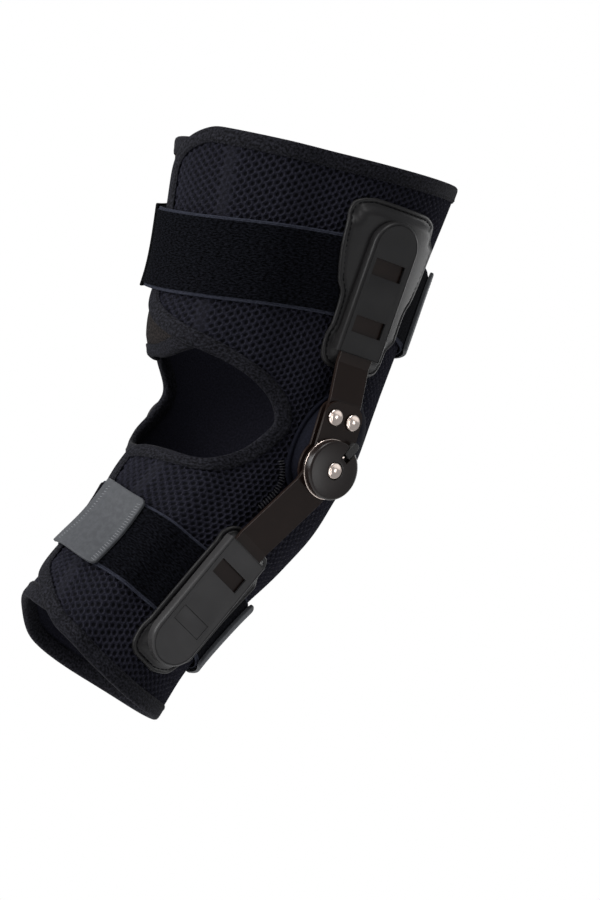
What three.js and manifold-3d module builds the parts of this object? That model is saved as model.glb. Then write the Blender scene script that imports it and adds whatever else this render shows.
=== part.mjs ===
import * as THREE from 'three';
import { mergeVertices } from 'three/addons/utils/BufferGeometryUtils.js';
import ManifoldModule from 'manifold-3d';

const manifoldLibrary = await ManifoldModule();
manifoldLibrary.setup();

// Driving sizes, in millimetres. +X is forward over the kneecap, +Z runs up the thigh, and the origin
// lies on the hinge axis (Y), midway between the two hinges.
const THIGH_LENGTH = 167;
const SHIN_LENGTH = 150;
const KNEE_DEPTH = 63;
const KNEE_WIDTH = 57;
const FLEXION = THREE.MathUtils.degToRad(28);
const BEND_REACH = 45;
const AXIS_TO_CENTRE = 1;
const KNEECAP_RISE = 3;

const CLEARANCE = 0.35;
const SHEET = 2.8;
const TAPE = 0.6;
const TAPE_GAP = 0.5;
const TAPE_WIDTH = 8;
const TOP_DIP = 4.5;
const HEM_DIP = 5.5;
const FLAP_RAMP_START = -116;
const FLAP_RAMP_END = -136;
const UNDERLAP_END = 209;
const CLOSURE_LOW = 0.18 * THIGH_LENGTH;
const CLOSURE_HIGH = 0.93 * THIGH_LENGTH;
const CLOSURE_SLANT = 0.115 * THIGH_LENGTH;
const CLOSURE_SLANT_START = 172;
const CLOSURE_SLANT_TURN = 40;

const THIGH_STRAP_WIDTH = 45;
const SHIN_STRAP_WIDTH = 44;
const STRAP = 2;
const STRAP_SAG = 11;
const STRAP_CLIMB = 5.5;
const STRAP_CLIMB_ANGLE = -206;
const STRAP_CLIMB_TURN = 52;
const TAB = 1.8;
const TAB_OVERHANG = 1;
const BACK_STRAP = { from: -276, to: -84 };
const FRONT_STRAP = { from: -83, to: 83 };
const THIGH_BACK_TAB = { from: -240, to: -204 };
const SHIN_BACK_TAB = { from: -198, to: -153 };
const FRONT_TAB = { from: -46, to: -6 };
const STRAP_SETTLE_START = -216;
const STRAP_SETTLE_END = -240;

const HINGE_SEAT = 71.5;
const PLATE = 1.5;
const PLATE_RADIUS = 16.5;
const TONGUE_HALF_WIDTH = 13;
const TONGUE_TOP = 37;
const TONGUE_CORNER = 8;
const BAR = 2.5;
const BAR_WIDTH = 22;
const BAR_REACH = 132;
const BAR_FLAT = 16;
const DISC = 4;
const DISC_CHAMFER = 1.2;
const STOP_DEPTH = 6;
const STOP_WIDTH = 5;
const STOP_INSET = 1.5;
const RIVET_HEAD_RADIUS = 4.6;
const RIVET_SHANK_RADIUS = 2.4;
const PLATE_RIVET_UP = 28;
const PLATE_RIVET_ACROSS = 6.2;
const UPPER_LEAN = THREE.MathUtils.degToRad(2);
const LOWER_LEAN = THREE.MathUtils.degToRad(1.3);
const LOWER_BAR_SHORTER = 2.7;

const FLANGE = 1.8;
const PASSAGE_MARGIN = 4;
const PASSAGE_RAMP = 8;
const CHANNEL_MOUTH = 64;
const CHANNEL_LENGTH = BAR_REACH - CHANNEL_MOUTH + 5;
const MOUTH_LEAD = 6;
const CHANNEL_ROOF = 1.5;
const CHANNEL_FLANK = 4;
const WINDOW_WIDTH = 9.5;
const WINDOW_PLACES = [0.23, 0.68];

const PAD_HALF_HEIGHT = 31.5;
const PAD_HALF_WIDTH = 23;
const PAD_RIM = 2.4;
const PAD_ANGLE = -79.5;
const PAD_CENTRE = 0.084 * THIGH_LENGTH;

// Heights above the leg that follow from the sizes above.
const TAPE_TOP = SHEET + TAPE_GAP + TAPE;
const FLAP_LIFT = TAPE_TOP + 2 * CLEARANCE;
const STRAP_HEIGHT = TAPE_TOP + CLEARANCE;
const TAB_HEIGHT = STRAP_HEIGHT + STRAP + CLEARANCE;
const FLANGE_TOP = TAB_HEIGHT + FLANGE;
const BACK_PLATE_OUT = HINGE_SEAT + CLEARANCE;
const BAR_OUT = BACK_PLATE_OUT + PLATE + CLEARANCE;
const FRONT_PLATE_OUT = BAR_OUT + BAR + CLEARANCE;
const DISC_OUT = FRONT_PLATE_OUT + PLATE + CLEARANCE;
const THIGH_STRAP_ALONG = 0.62 * THIGH_LENGTH;
const SHIN_STRAP_ALONG = -0.63 * SHIN_LENGTH;

const meshFabric = new THREE.MeshStandardMaterial({ color: 0x1b1b22, roughness: 0.95, metalness: 0 });
const loopFabric = new THREE.MeshStandardMaterial({ color: 0x1d1a1b, roughness: 1, metalness: 0 });
const knitTape = new THREE.MeshStandardMaterial({ color: 0x222226, roughness: 0.9, metalness: 0 });
const pileStrap = new THREE.MeshStandardMaterial({ color: 0x0b0b0e, roughness: 1, metalness: 0 });
const greyRubber = new THREE.MeshStandardMaterial({ color: 0x55585c, roughness: 0.6, metalness: 0 });
const navyFabric = new THREE.MeshStandardMaterial({ color: 0x0d0f19, roughness: 0.85, metalness: 0 });
const pocketVinyl = new THREE.MeshStandardMaterial({ color: 0x343434, roughness: 0.45, metalness: 0 });
const brownBar = new THREE.MeshStandardMaterial({ color: 0x2f2420, roughness: 0.4, metalness: 0.6 });
const glossDisc = new THREE.MeshStandardMaterial({ color: 0x1c1614, roughness: 0.15, metalness: 0.2 });
const nickel = new THREE.MeshStandardMaterial({ color: 0xc9c7c4, roughness: 0.2, metalness: 1 });

// The inside of the brace, from the hem to the top edge. `at` is a share of the thigh's length above the
// knee, or of the shin's below it; front and back are shares of KNEE_DEPTH, and side of KNEE_WIDTH.
const LEG_FORM = [
  { at: -1.1, front: 0.87, back: 0.66, side: 0.83 },
  { at: -0.85, front: 0.8, back: 0.64, side: 0.815 },
  { at: -0.6, front: 0.81, back: 0.585, side: 0.855 },
  { at: -0.3, front: 0.92, back: 0.7, side: 0.94 },
  { at: 0, front: 1, back: 0.95, side: 1 },
  { at: 0.21, front: 1.015, back: 1, side: 1.05 },
  { at: 0.42, front: 1.05, back: 1.11, side: 1.105 },
  { at: 0.72, front: 1.11, back: 1.23, side: 1.175 },
  { at: 1.02, front: 1.19, back: 1.39, side: 1.245 },
];

// Where the wrap ends on the inner side of the leg, in degrees from the front: a flap behind the shin, the
// edge of the opening behind the knee, and a flap behind the thigh.
const INNER_EDGE = [
  { at: -1, angle: -151 },
  { at: -0.98, angle: -165 },
  { at: -0.955, angle: -176 },
  { at: -0.905, angle: -192 },
  { at: -0.85, angle: -200 },
  { at: -0.75, angle: -203 },
  { at: -0.42, angle: -202 },
  { at: -0.325, angle: -197 },
  { at: -0.295, angle: -193 },
  { at: -0.275, angle: -180 },
  { at: -0.262, angle: -163 },
  { at: -0.25, angle: -150 },
  { at: -0.235, angle: -142 },
  { at: -0.2, angle: -134 },
  { at: -0.087, angle: -120 },
  { at: 0.015, angle: -113 },
  { at: 0.066, angle: -110 },
  { at: 0.1, angle: -112 },
  { at: 0.15, angle: -118 },
  { at: 0.215, angle: -133 },
  { at: 0.255, angle: -149 },
  { at: 0.278, angle: -163 },
  { at: 0.3, angle: -174 },
  { at: 0.335, angle: -185 },
  { at: 0.39, angle: -191 },
  { at: 0.82, angle: -192 },
  { at: 0.92, angle: -185 },
  { at: 0.965, angle: -177 },
  { at: 1, angle: -166 },
];

// Where the wrap ends on the outer side: under the shin's flap, round the opening, and at the seam with
// the closure behind the thigh.
const OUTER_EDGE = [
  { at: -1, angle: 207 },
  { at: -0.9, angle: 209 },
  { at: -0.42, angle: 209 },
  { at: -0.34, angle: 206 },
  { at: -0.305, angle: 193 },
  { at: -0.276, angle: 172 },
  { at: -0.25, angle: 150 },
  { at: -0.235, angle: 142 },
  { at: -0.2, angle: 134 },
  { at: -0.087, angle: 120 },
  { at: 0.015, angle: 113 },
  { at: 0.066, angle: 110 },
  { at: 0.1, angle: 112 },
  { at: 0.15, angle: 120 },
  { at: 0.2, angle: 130 },
  { at: 0.25, angle: 132 },
  { at: 1, angle: 132 },
];

// How far the hem hangs below the shin's length, as a share of HEM_DIP, at each share of half a turn.
const HEM_LINE = [
  { at: -1, dip: -0.3 },
  { at: -0.8, dip: 0.5 },
  { at: -0.6, dip: 1 },
  { at: -0.43, dip: 1 },
  { at: -0.18, dip: -0.1 },
  { at: 0, dip: -0.2 },
  { at: 0.18, dip: -0.1 },
  { at: 0.5, dip: 0.6 },
  { at: 0.65, dip: -0.6 },
  { at: 0.8, dip: -1.25 },
  { at: 1, dip: -0.4 },
  { at: 1.17, dip: 0 },
];

// Places of the wrap's rows of cells, closer together where its edges turn.
const WRAP_ROWS = [
  -1, -0.98, -0.95, -0.905, -0.83, -0.65, -0.54, -0.44, -0.37, -0.33, -0.305, -0.288, -0.276, -0.266,
  -0.255, -0.243, -0.225, -0.19, -0.14, -0.07, 0.015, 0.083, 0.15, 0.2, 0.22, 0.24, 0.262, 0.276,
  0.29, 0.31, 0.34, 0.4, 0.54, 0.68, 0.82, 0.92, 0.965, 1,
];
const WRAP_COLUMNS = 30;
const CLOSURE_COLUMNS = 9;
const CLOSURE_ROWS = 6;

// Outlines of the two pockets on the inner side of the leg, in degrees from the front.
const UPPER_POCKET = [
  { at: 0.32, back: -96, front: -73 },
  { at: 0.335, back: -100, front: -69 },
  { at: 0.375, back: -102.3, front: -66.5 },
  { at: 0.56, back: -102.3, front: -66.5 },
  { at: 0.6, back: -105, front: -64 },
  { at: 0.72, back: -107.7, front: -62 },
  { at: 0.85, back: -107.2, front: -62 },
  { at: 0.875, back: -104, front: -65 },
  { at: 0.89, back: -98, front: -71 },
];
const LOWER_POCKET = [
  { at: -0.945, back: -97, front: -82 },
  { at: -0.93, back: -101.5, front: -76 },
  { at: -0.9, back: -104.5, front: -68 },
  { at: -0.83, back: -106, front: -63 },
  { at: -0.4, back: -105.5, front: -63 },
  { at: -0.36, back: -102, front: -65.5 },
  { at: -0.342, back: -98, front: -69 },
];

function smooth(t) {
  const clamped = THREE.MathUtils.clamp(t, 0, 1);
  return clamped * clamped * (3 - 2 * clamped);
}

// Reads a column of a table between its rows, along a smooth curve through them.
function readTable(table, column, at) {
  const last = table.length - 1;
  let row = 0;
  while (row < last - 1 && at > table[row + 1].at) {
    row += 1;
  }
  const slopeAt = (k) => {
    const before = table[Math.max(k - 1, 0)];
    const after = table[Math.min(k + 1, last)];
    return (after[column] - before[column]) / (after.at - before.at);
  };
  const from = table[row];
  const to = table[row + 1];
  const span = to.at - from.at;
  const t = THREE.MathUtils.clamp((at - from.at) / span, 0, 1);
  const ease = t * t * (3 - 2 * t);
  const leave = t * (1 - t) * (1 - t) * span * slopeAt(row);
  const arrive = t * t * (t - 1) * span * slopeAt(row + 1);
  return THREE.MathUtils.lerp(from[column], to[column], ease) + leave + arrive;
}

function shareOf(along) {
  return along / (along > 0 ? THIGH_LENGTH : SHIN_LENGTH);
}

function alongOf(share) {
  return share * (share > 0 ? THIGH_LENGTH : SHIN_LENGTH);
}

// The leg's centreline: straight up the thigh, an arc through the knee, and straight down the shin.
function centreline(along) {
  const radius = 2 * BEND_REACH / FLEXION;
  const tilt = FLEXION * THREE.MathUtils.clamp((BEND_REACH - along) / (2 * BEND_REACH), 0, 1);
  const above = Math.max(along - BEND_REACH, 0);
  const below = Math.min(along + BEND_REACH, 0);
  return {
    x: -AXIS_TO_CENTRE - radius * (1 - Math.cos(tilt)) + below * Math.sin(FLEXION),
    z: radius * Math.tan(FLEXION / 2) - radius * Math.sin(tilt) + above + below * Math.cos(FLEXION),
    tilt,
  };
}

function kneecapRise(along, angle) {
  const up = (along - 0.02 * THIGH_LENGTH) / (0.17 * THIGH_LENGTH);
  const round = angle / 24;
  return KNEECAP_RISE * Math.exp(-up * up - round * round);
}

// The point at a height above the leg's surface, a distance along the leg and an angle round it.
function onLeg(along, angle, height) {
  const at = shareOf(along);
  const front = KNEE_DEPTH * readTable(LEG_FORM, 'front', at);
  const back = KNEE_DEPTH * readTable(LEG_FORM, 'back', at);
  const side = KNEE_WIDTH * readTable(LEG_FORM, 'side', at);
  const turn = THREE.MathUtils.degToRad(angle);
  const depth = (front + back) / 2 + (front - back) / 2 * Math.cos(turn);
  const normal = new THREE.Vector2(Math.cos(turn) / depth, Math.sin(turn) / side).normalize();
  const lift = height + kneecapRise(along, angle);
  const forward = depth * Math.cos(turn) + lift * normal.x;
  const sideways = side * Math.sin(turn) + lift * normal.y;
  const centre = centreline(along);
  return new THREE.Vector3(
    centre.x + forward * Math.cos(centre.tilt),
    sideways,
    centre.z - forward * Math.sin(centre.tilt),
  );
}

function millimetresPerDegree(along, angle) {
  return onLeg(along, angle - 0.5, 0).distanceTo(onLeg(along, angle + 0.5, 0));
}

// Splits each four-cornered cell of a grid geometry along its shorter diagonal.
function splitShort(geometry) {
  const index = geometry.index.array;
  const corner = (k) => new THREE.Vector3().fromBufferAttribute(geometry.attributes.position, k);
  for (let k = 0; k < index.length; k += 6) {
    const [a, b, d, , c] = index.slice(k, k + 6);
    if (corner(a).distanceTo(corner(c)) < corner(b).distanceTo(corner(d))) {
      index.set([a, b, c, a, c, d], k);
    }
  }
  return geometry;
}

// Joins a geometry's vertices and turns its faces outward.
function closed(geometry) {
  geometry.deleteAttribute('normal');
  geometry.deleteAttribute('uv');
  const merged = mergeVertices(geometry, 1e-4);
  const index = merged.index.array;
  const corner = (k) => new THREE.Vector3().fromBufferAttribute(merged.attributes.position, index[k]);
  let volume = 0;
  for (let k = 0; k < index.length; k += 3) {
    volume += corner(k).dot(corner(k + 1).cross(corner(k + 2)));
  }
  if (volume < 0) {
    for (let k = 0; k < index.length; k += 3) {
      [index[k + 1], index[k + 2]] = [index[k + 2], index[k + 1]];
    }
  }
  merged.computeVertexNormals();
  return merged;
}

function toManifold(geometry) {
  const solid = closed(geometry.clone());
  return new manifoldLibrary.Manifold(new manifoldLibrary.Mesh({
    numProp: 3,
    vertProperties: new Float32Array(solid.attributes.position.array),
    triVerts: new Uint32Array(solid.index.array),
  }));
}

function fromManifold(solid) {
  const result = solid.getMesh();
  const geometry = new THREE.BufferGeometry();
  geometry.setAttribute('position', new THREE.BufferAttribute(result.vertProperties, 3));
  geometry.setIndex(new THREE.BufferAttribute(result.triVerts, 1));
  return closed(geometry);
}

function subtract(geometry, ...tools) {
  return fromManifold(tools.reduce((solid, tool) => solid.subtract(toManifold(tool)), toManifold(geometry)));
}

function intersect(geometry, other) {
  return fromManifold(toManifold(geometry).intersect(toManifold(other)));
}

function unite(geometry, other) {
  return fromManifold(toManifold(geometry).add(toManifold(other)));
}

function box(size, centre) {
  return new THREE.BoxGeometry(size.x, size.y, size.z).translate(centre.x, centre.y, centre.z);
}

// Wraps a box round the leg. u runs round the leg, v along it and w through the thickness, each 0 to 1.
function wrappedBox(columns, rows, place) {
  const geometry = new THREE.BoxGeometry(1, 1, 1, columns, rows, 1);
  const position = geometry.attributes.position;
  for (let i = 0; i < position.count; i += 1) {
    const point = place(position.getX(i) + 0.5, position.getY(i) + 0.5, position.getZ(i) + 0.5);
    position.setXYZ(i, point.x, point.y, point.z);
  }
  return closed(splitShort(geometry));
}

function flapLift(angle) {
  return FLAP_LIFT * smooth((FLAP_RAMP_START - angle) / (FLAP_RAMP_START - FLAP_RAMP_END));
}

// A cell corner of the wrap, as a distance along the leg and an angle round it.
function wrapPlace(u, v) {
  const share = WRAP_ROWS[Math.round(v * (WRAP_ROWS.length - 1))];
  const angle = THREE.MathUtils.lerp(
    readTable(INNER_EDGE, 'angle', share),
    readTable(OUTER_EDGE, 'angle', share),
    u,
  );
  const turn = THREE.MathUtils.degToRad(angle);
  const top = TOP_DIP * Math.cos(turn) * smooth((share - 0.7) / 0.3);
  const hem = HEM_DIP * readTable(HEM_LINE, 'dip', angle / 180) * smooth((-share - 0.7) / 0.3);
  return { along: alongOf(share) + top - hem, angle };
}

function wrapGeometry() {
  return wrappedBox(WRAP_COLUMNS, WRAP_ROWS.length - 1, (u, v, w) => {
    const place = wrapPlace(u, v);
    return onLeg(place.along, place.angle, flapLift(place.angle) + w * SHEET);
  });
}

// The loop of corners round a sheet of cells, with the sheet on its left.
function edgeLoop(columns, rows, placeAt) {
  const loop = [];
  for (let i = 0; i < columns; i += 1) {
    loop.push(placeAt(i / columns, 0));
  }
  for (let i = 0; i < rows; i += 1) {
    loop.push(placeAt(1, i / rows));
  }
  for (let i = columns; i > 0; i -= 1) {
    loop.push(placeAt(i / columns, 1));
  }
  for (let i = rows; i > 0; i -= 1) {
    loop.push(placeAt(0, i / rows));
  }
  return loop;
}

function stepBetween(from, to, rate) {
  return new THREE.Vector2((to.angle - from.angle) * rate, to.along - from.along).normalize();
}

// A tape sewn round the edge of a sheet: it covers the edge and lies on the outer face.
function tapeGeometry(loop, liftAt) {
  const outer = SHEET + TAPE_GAP;
  const section = [
    { inward: TAPE_WIDTH, height: outer },
    { inward: TAPE_WIDTH, height: outer + TAPE },
    { inward: -TAPE_GAP - TAPE, height: outer + TAPE },
    { inward: -TAPE_GAP - TAPE, height: 0 },
    { inward: -TAPE_GAP, height: 0 },
    { inward: -TAPE_GAP, height: outer },
  ];
  const geometry = new THREE.TorusGeometry(2, 1, section.length, loop.length);
  const position = geometry.attributes.position;
  const rings = loop.length + 1;
  for (let i = 0; i < position.count; i += 1) {
    const corner = section[Math.floor(i / rings) % section.length];
    const here = loop[(i % rings) % loop.length];
    const before = loop[(i % rings + loop.length - 1) % loop.length];
    const after = loop[(i % rings + 1) % loop.length];
    const rate = millimetresPerDegree(here.along, here.angle);
    const arriving = stepBetween(before, here, rate);
    const leaving = stepBetween(here, after, rate);
    const middle = arriving.clone().add(leaving).normalize();
    const reach = corner.inward / Math.max(middle.dot(leaving), 0.7);
    const along = here.along + middle.x * reach;
    const angle = here.angle - middle.y * reach / rate;
    const point = onLeg(along, angle, liftAt(angle) + corner.height);
    position.setXYZ(i, point.x, point.y, point.z);
  }
  return closed(splitShort(geometry));
}

// The closure sewn to the wrap behind the thigh, which the inner flap fastens onto.
function closurePlace(u, v) {
  const seam = readTable(OUTER_EDGE, 'angle', 1);
  const rate = millimetresPerDegree(2 * CLOSURE_LOW, seam);
  const start = seam + 2 * (TAPE_GAP + TAPE + CLEARANCE) / rate;
  const angle = THREE.MathUtils.lerp(start, UNDERLAP_END, u);
  const rise = CLOSURE_SLANT * smooth((angle - CLOSURE_SLANT_START) / CLOSURE_SLANT_TURN);
  return { along: THREE.MathUtils.lerp(CLOSURE_LOW + rise, CLOSURE_HIGH, v), angle };
}

function closureGeometry() {
  return wrappedBox(CLOSURE_COLUMNS, CLOSURE_ROWS, (u, v, w) => {
    const place = closurePlace(u, v);
    return onLeg(place.along, place.angle, w * SHEET);
  });
}

// How far a back strap is lifted: onto the flap with it, and down again past the flap's end.
function strapLift(angle) {
  return flapLift(angle) * smooth((angle - STRAP_SETTLE_END) / (STRAP_SETTLE_START - STRAP_SETTLE_END));
}

// The thigh's straps hang lower at the front and the back than at the pockets. The shin's run level, and
// climb a little where the back strap's tab lies.
function strapCentre(centre, angle) {
  if (centre > 0) {
    return centre - STRAP_SAG * Math.cos(THREE.MathUtils.degToRad(angle)) ** 2;
  }
  return centre + STRAP_CLIMB * smooth(1 - Math.abs(angle - STRAP_CLIMB_ANGLE) / STRAP_CLIMB_TURN);
}

function bandGeometry(band) {
  return wrappedBox(band.columns, 2, (u, v, w) => {
    const angle = THREE.MathUtils.lerp(band.from, band.to, u);
    const along = strapCentre(band.centre, angle) + (v - 0.5) * band.width;
    return onLeg(along, angle, band.height + strapLift(angle) + w * band.thickness);
  });
}

// The stretch of a pocket that is raised to let the strap pass under it, and the ramps at its ends.
function strapPassage(up) {
  const centre = up ? THIGH_STRAP_ALONG : SHIN_STRAP_ALONG;
  const half = (up ? THIGH_STRAP_WIDTH : SHIN_STRAP_WIDTH) / 2 + PASSAGE_MARGIN;
  return { centre, low: centre - half, high: centre + half };
}

function passageRise(along, passage) {
  const beyond = Math.max(passage.low - along, along - passage.high);
  return (TAB_HEIGHT - SHEET - CLEARANCE) * smooth(1 - beyond / PASSAGE_RAMP);
}

function flangeGeometry(up) {
  const table = up ? UPPER_POCKET : LOWER_POCKET;
  const first = alongOf(table[0].at);
  const last = alongOf(table[table.length - 1].at);
  const passage = strapPassage(up);
  const corner = 0.045 * (last - first);
  const rows = [
    first,
    first + corner,
    passage.low - PASSAGE_RAMP,
    passage.low,
    passage.centre,
    passage.high,
    passage.high + PASSAGE_RAMP,
    last - corner,
    last,
  ];
  return wrappedBox(5, rows.length - 1, (u, v, w) => {
    const along = rows[Math.round(v * (rows.length - 1))];
    const share = shareOf(along);
    const angle = THREE.MathUtils.lerp(readTable(table, 'back', share), readTable(table, 'front', share), u);
    const under = SHEET + CLEARANCE + passageRise(along, passage);
    const inside = smooth(Math.min(u, 1 - u) / 0.2) * smooth(Math.min(along - first, last - along) / 14);
    const top = THREE.MathUtils.lerp(under + FLANGE, FLANGE_TOP, inside);
    return onLeg(along, angle, THREE.MathUtils.lerp(under, top, w));
  });
}

// Turns about the hinge axis that carry the upper and the lower bar.
function hingeTurn(up) {
  return new THREE.Matrix4().makeRotationY(up ? UPPER_LEAN : FLEXION - LOWER_LEAN);
}

// How far out from the middle of the knee a bar's inner face lies where it rests on its pocket.
function mouthAt(up) {
  return up ? CHANNEL_MOUTH : CHANNEL_MOUTH - LOWER_BAR_SHORTER;
}

function reachAt(up) {
  return up ? BAR_REACH : BAR_REACH - LOWER_BAR_SHORTER;
}

function restOut(along) {
  return KNEE_WIDTH * readTable(LEG_FORM, 'side', shareOf(along)) + FLANGE_TOP + CLEARANCE;
}

// Bars run flat through the hinge, bend in to the pocket's mouth and then follow the leg.
function barPath(up) {
  const sign = up ? 1 : -1;
  const flatEnd = up ? TONGUE_TOP + 1 : BAR_FLAT;
  const mouth = mouthAt(up) - MOUTH_LEAD;
  return [
    { z: up ? BAR_FLAT - 1 : PLATE_RADIUS, out: BAR_OUT },
    { z: sign * flatEnd, out: BAR_OUT },
    { z: sign * mouth, out: restOut(sign * mouth) },
    { z: sign * reachAt(up), out: restOut(sign * reachAt(up)) },
  ];
}

function barGeometry(up) {
  const path = barPath(up);
  const innerLine = path.map((point) => new THREE.Vector2(point.z, -point.out));
  const outerLine = path.map((point) => new THREE.Vector2(point.z, -point.out - BAR)).reverse();
  const profile = new THREE.Shape([...innerLine, ...outerLine]);
  const strip = new THREE.ExtrudeGeometry(profile, { depth: 2 * BAR_WIDTH, bevelEnabled: false });
  strip.translate(0, 0, -BAR_WIDTH).rotateY(-Math.PI / 2);

  const half = BAR_WIDTH / 2;
  const dome = reachAt(up) - half;
  const outline = new THREE.Shape();
  if (up) {
    outline.moveTo(half, BAR_FLAT - 1);
    outline.lineTo(half, dome);
    outline.absarc(0, dome, half, 0, Math.PI, false);
    outline.lineTo(-half, BAR_FLAT - 1);
    for (const across of [-PLATE_RIVET_ACROSS, PLATE_RIVET_ACROSS]) {
      outline.holes.push(holeAt(across, PLATE_RIVET_UP));
    }
  } else {
    outline.moveTo(half, 0);
    outline.absarc(0, 0, half, 0, Math.PI, false);
    outline.lineTo(-half, -dome);
    outline.absarc(0, -dome, half, Math.PI, 2 * Math.PI, false);
    outline.holes.push(holeAt(0, 0));
  }
  const across = { depth: 2 * HINGE_SEAT, bevelEnabled: false, curveSegments: 4 };
  const cutter = new THREE.ExtrudeGeometry(outline, across);
  cutter.rotateX(Math.PI / 2);
  return intersect(strip, cutter).applyMatrix4(hingeTurn(up));
}

function holeAt(across, up) {
  const hole = new THREE.Path();
  hole.absarc(across, up, RIVET_SHANK_RADIUS + CLEARANCE, 0, 2 * Math.PI, true);
  return hole;
}

// A hinge plate: round about the pivot, with a tongue up the bar that two rivets hold.
function plateGeometry(out) {
  const meet = Math.asin(Math.sqrt(PLATE_RADIUS ** 2 - TONGUE_HALF_WIDTH ** 2) / PLATE_RADIUS);
  const corner = TONGUE_HALF_WIDTH - TONGUE_CORNER;
  const outline = new THREE.Shape();
  outline.moveTo(TONGUE_HALF_WIDTH, PLATE_RADIUS * Math.sin(meet));
  outline.absarc(corner, TONGUE_TOP - TONGUE_CORNER, TONGUE_CORNER, 0, Math.PI / 2, false);
  outline.absarc(-corner, TONGUE_TOP - TONGUE_CORNER, TONGUE_CORNER, Math.PI / 2, Math.PI, false);
  outline.absarc(0, 0, PLATE_RADIUS, Math.PI - meet, 2 * Math.PI + meet, false);
  outline.holes.push(holeAt(0, 0));
  for (const across of [-PLATE_RIVET_ACROSS, PLATE_RIVET_ACROSS]) {
    outline.holes.push(holeAt(across, PLATE_RIVET_UP));
  }
  const plate = new THREE.ExtrudeGeometry(outline, { depth: PLATE, bevelEnabled: false, curveSegments: 4 });
  return closed(plate.rotateX(Math.PI / 2).translate(0, -out, 0).applyMatrix4(hingeTurn(true)));
}

// A turned part on the hinge axis, from pairs of radius and height out from the hinge's seat.
function turnedGeometry(profile, segments) {
  const points = profile.map((point) => new THREE.Vector2(point.radius, point.out));
  return closed(new THREE.LatheGeometry(points, segments).rotateX(Math.PI));
}

function rivetGeometry(from, to) {
  const under = to + CLEARANCE;
  return turnedGeometry([
    { radius: 0, out: from },
    { radius: RIVET_SHANK_RADIUS, out: from },
    { radius: RIVET_SHANK_RADIUS, out: under },
    { radius: RIVET_HEAD_RADIUS, out: under },
    { radius: RIVET_HEAD_RADIUS, out: under + 0.6 },
    { radius: RIVET_HEAD_RADIUS * 0.76, out: under + 1.3 },
    { radius: RIVET_HEAD_RADIUS * 0.5, out: under + 0.6 },
    { radius: 0, out: under + 0.4 },
  ], 8);
}

function discGeometry() {
  const hole = RIVET_SHANK_RADIUS + CLEARANCE;
  const disc = turnedGeometry([
    { radius: hole, out: DISC_OUT },
    { radius: PLATE_RADIUS, out: DISC_OUT },
    { radius: PLATE_RADIUS, out: DISC_OUT + DISC - DISC_CHAMFER },
    { radius: PLATE_RADIUS - DISC_CHAMFER, out: DISC_OUT + DISC },
    { radius: hole, out: DISC_OUT + DISC },
    { radius: hole, out: DISC_OUT },
  ], 16);
  return subtract(disc, stopBlock(CLEARANCE)).applyMatrix4(hingeTurn(true));
}

// The block that fills the notch in the disc's rim, grown on every side by a margin.
function stopBlock(margin) {
  const size = new THREE.Vector3(STOP_DEPTH, DISC, STOP_WIDTH).addScalar(2 * margin);
  const place = new THREE.Vector3(PLATE_RADIUS - STOP_INSET, -DISC_OUT - DISC / 2, 0);
  return box(size, place).rotateY(-Math.PI / 3);
}

function stopGeometry() {
  return closed(stopBlock(0).applyMatrix4(hingeTurn(true)));
}

// The frame of a pocket's channel: its origin on the bar's inner face at the mouth, along the bar.
function channelFrame(up) {
  const sign = up ? 1 : -1;
  const start = restOut(sign * (mouthAt(up) - MOUTH_LEAD));
  const end = restOut(sign * reachAt(up));
  const slope = Math.atan2(end - start, BAR_REACH - CHANNEL_MOUTH + MOUTH_LEAD);
  const mouthOut = start + MOUTH_LEAD * Math.tan(slope);
  const place = new THREE.Matrix4().makeTranslation(0, -mouthOut, sign * mouthAt(up));
  const tilt = new THREE.Matrix4().makeRotationX(sign * slope);
  const flip = new THREE.Matrix4().makeScale(1, 1, sign);
  return hingeTurn(up).multiply(place).multiply(tilt).multiply(flip);
}

// A pocket: a flange on the wrap, and a channel with two windows that the bar slides into.
function pocketGeometry(up) {
  const halfCavity = BAR_WIDTH / 2 + CLEARANCE;
  const topOut = BAR + CLEARANCE + CHANNEL_ROOF;
  const outline = new THREE.Shape();
  const dome = CHANNEL_LENGTH - halfCavity;
  outline.moveTo(halfCavity, -2 * CHANNEL_FLANK);
  outline.lineTo(halfCavity, dome);
  outline.absarc(0, dome, halfCavity, 0, Math.PI, false);
  outline.lineTo(-halfCavity, -2 * CHANNEL_FLANK);
  const body = new THREE.ExtrudeGeometry(outline, {
    depth: CHANNEL_FLANK / 2,
    bevelThickness: CHANNEL_FLANK,
    bevelSize: CHANNEL_FLANK,
    bevelSegments: 1,
    curveSegments: 3,
  });
  body.rotateX(Math.PI / 2).translate(0, -topOut + CHANNEL_FLANK + CHANNEL_FLANK / 2, 0);

  const wide = 4 * CHANNEL_LENGTH;
  const bodyFoot = 0.9 * FLANGE;
  const underBody = box(new THREE.Vector3(wide, wide, wide), new THREE.Vector3(0, wide / 2 + bodyFoot, 0));
  const beforeMouth = box(new THREE.Vector3(wide, wide, wide), new THREE.Vector3(0, 0, -wide / 2));
  const reach = BAR_REACH - CHANNEL_MOUTH + 4;
  const cavity = box(
    new THREE.Vector3(2 * halfCavity, BAR + 2 * CLEARANCE, reach + wide),
    new THREE.Vector3(0, -BAR / 2, (reach - wide) / 2),
  );
  const frame = channelFrame(up);
  const windows = WINDOW_PLACES.map((share) => box(
    new THREE.Vector3(2 * halfCavity, 4 * CHANNEL_ROOF, WINDOW_WIDTH),
    new THREE.Vector3(0, -BAR - 2 * CHANNEL_ROOF, share * CHANNEL_LENGTH),
  ).applyMatrix4(frame));
  const channel = subtract(body, underBody, beforeMouth).applyMatrix4(frame);
  const flange = flangeGeometry(up);
  return subtract(unite(flange, channel), cavity.applyMatrix4(frame), ...windows);
}

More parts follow.
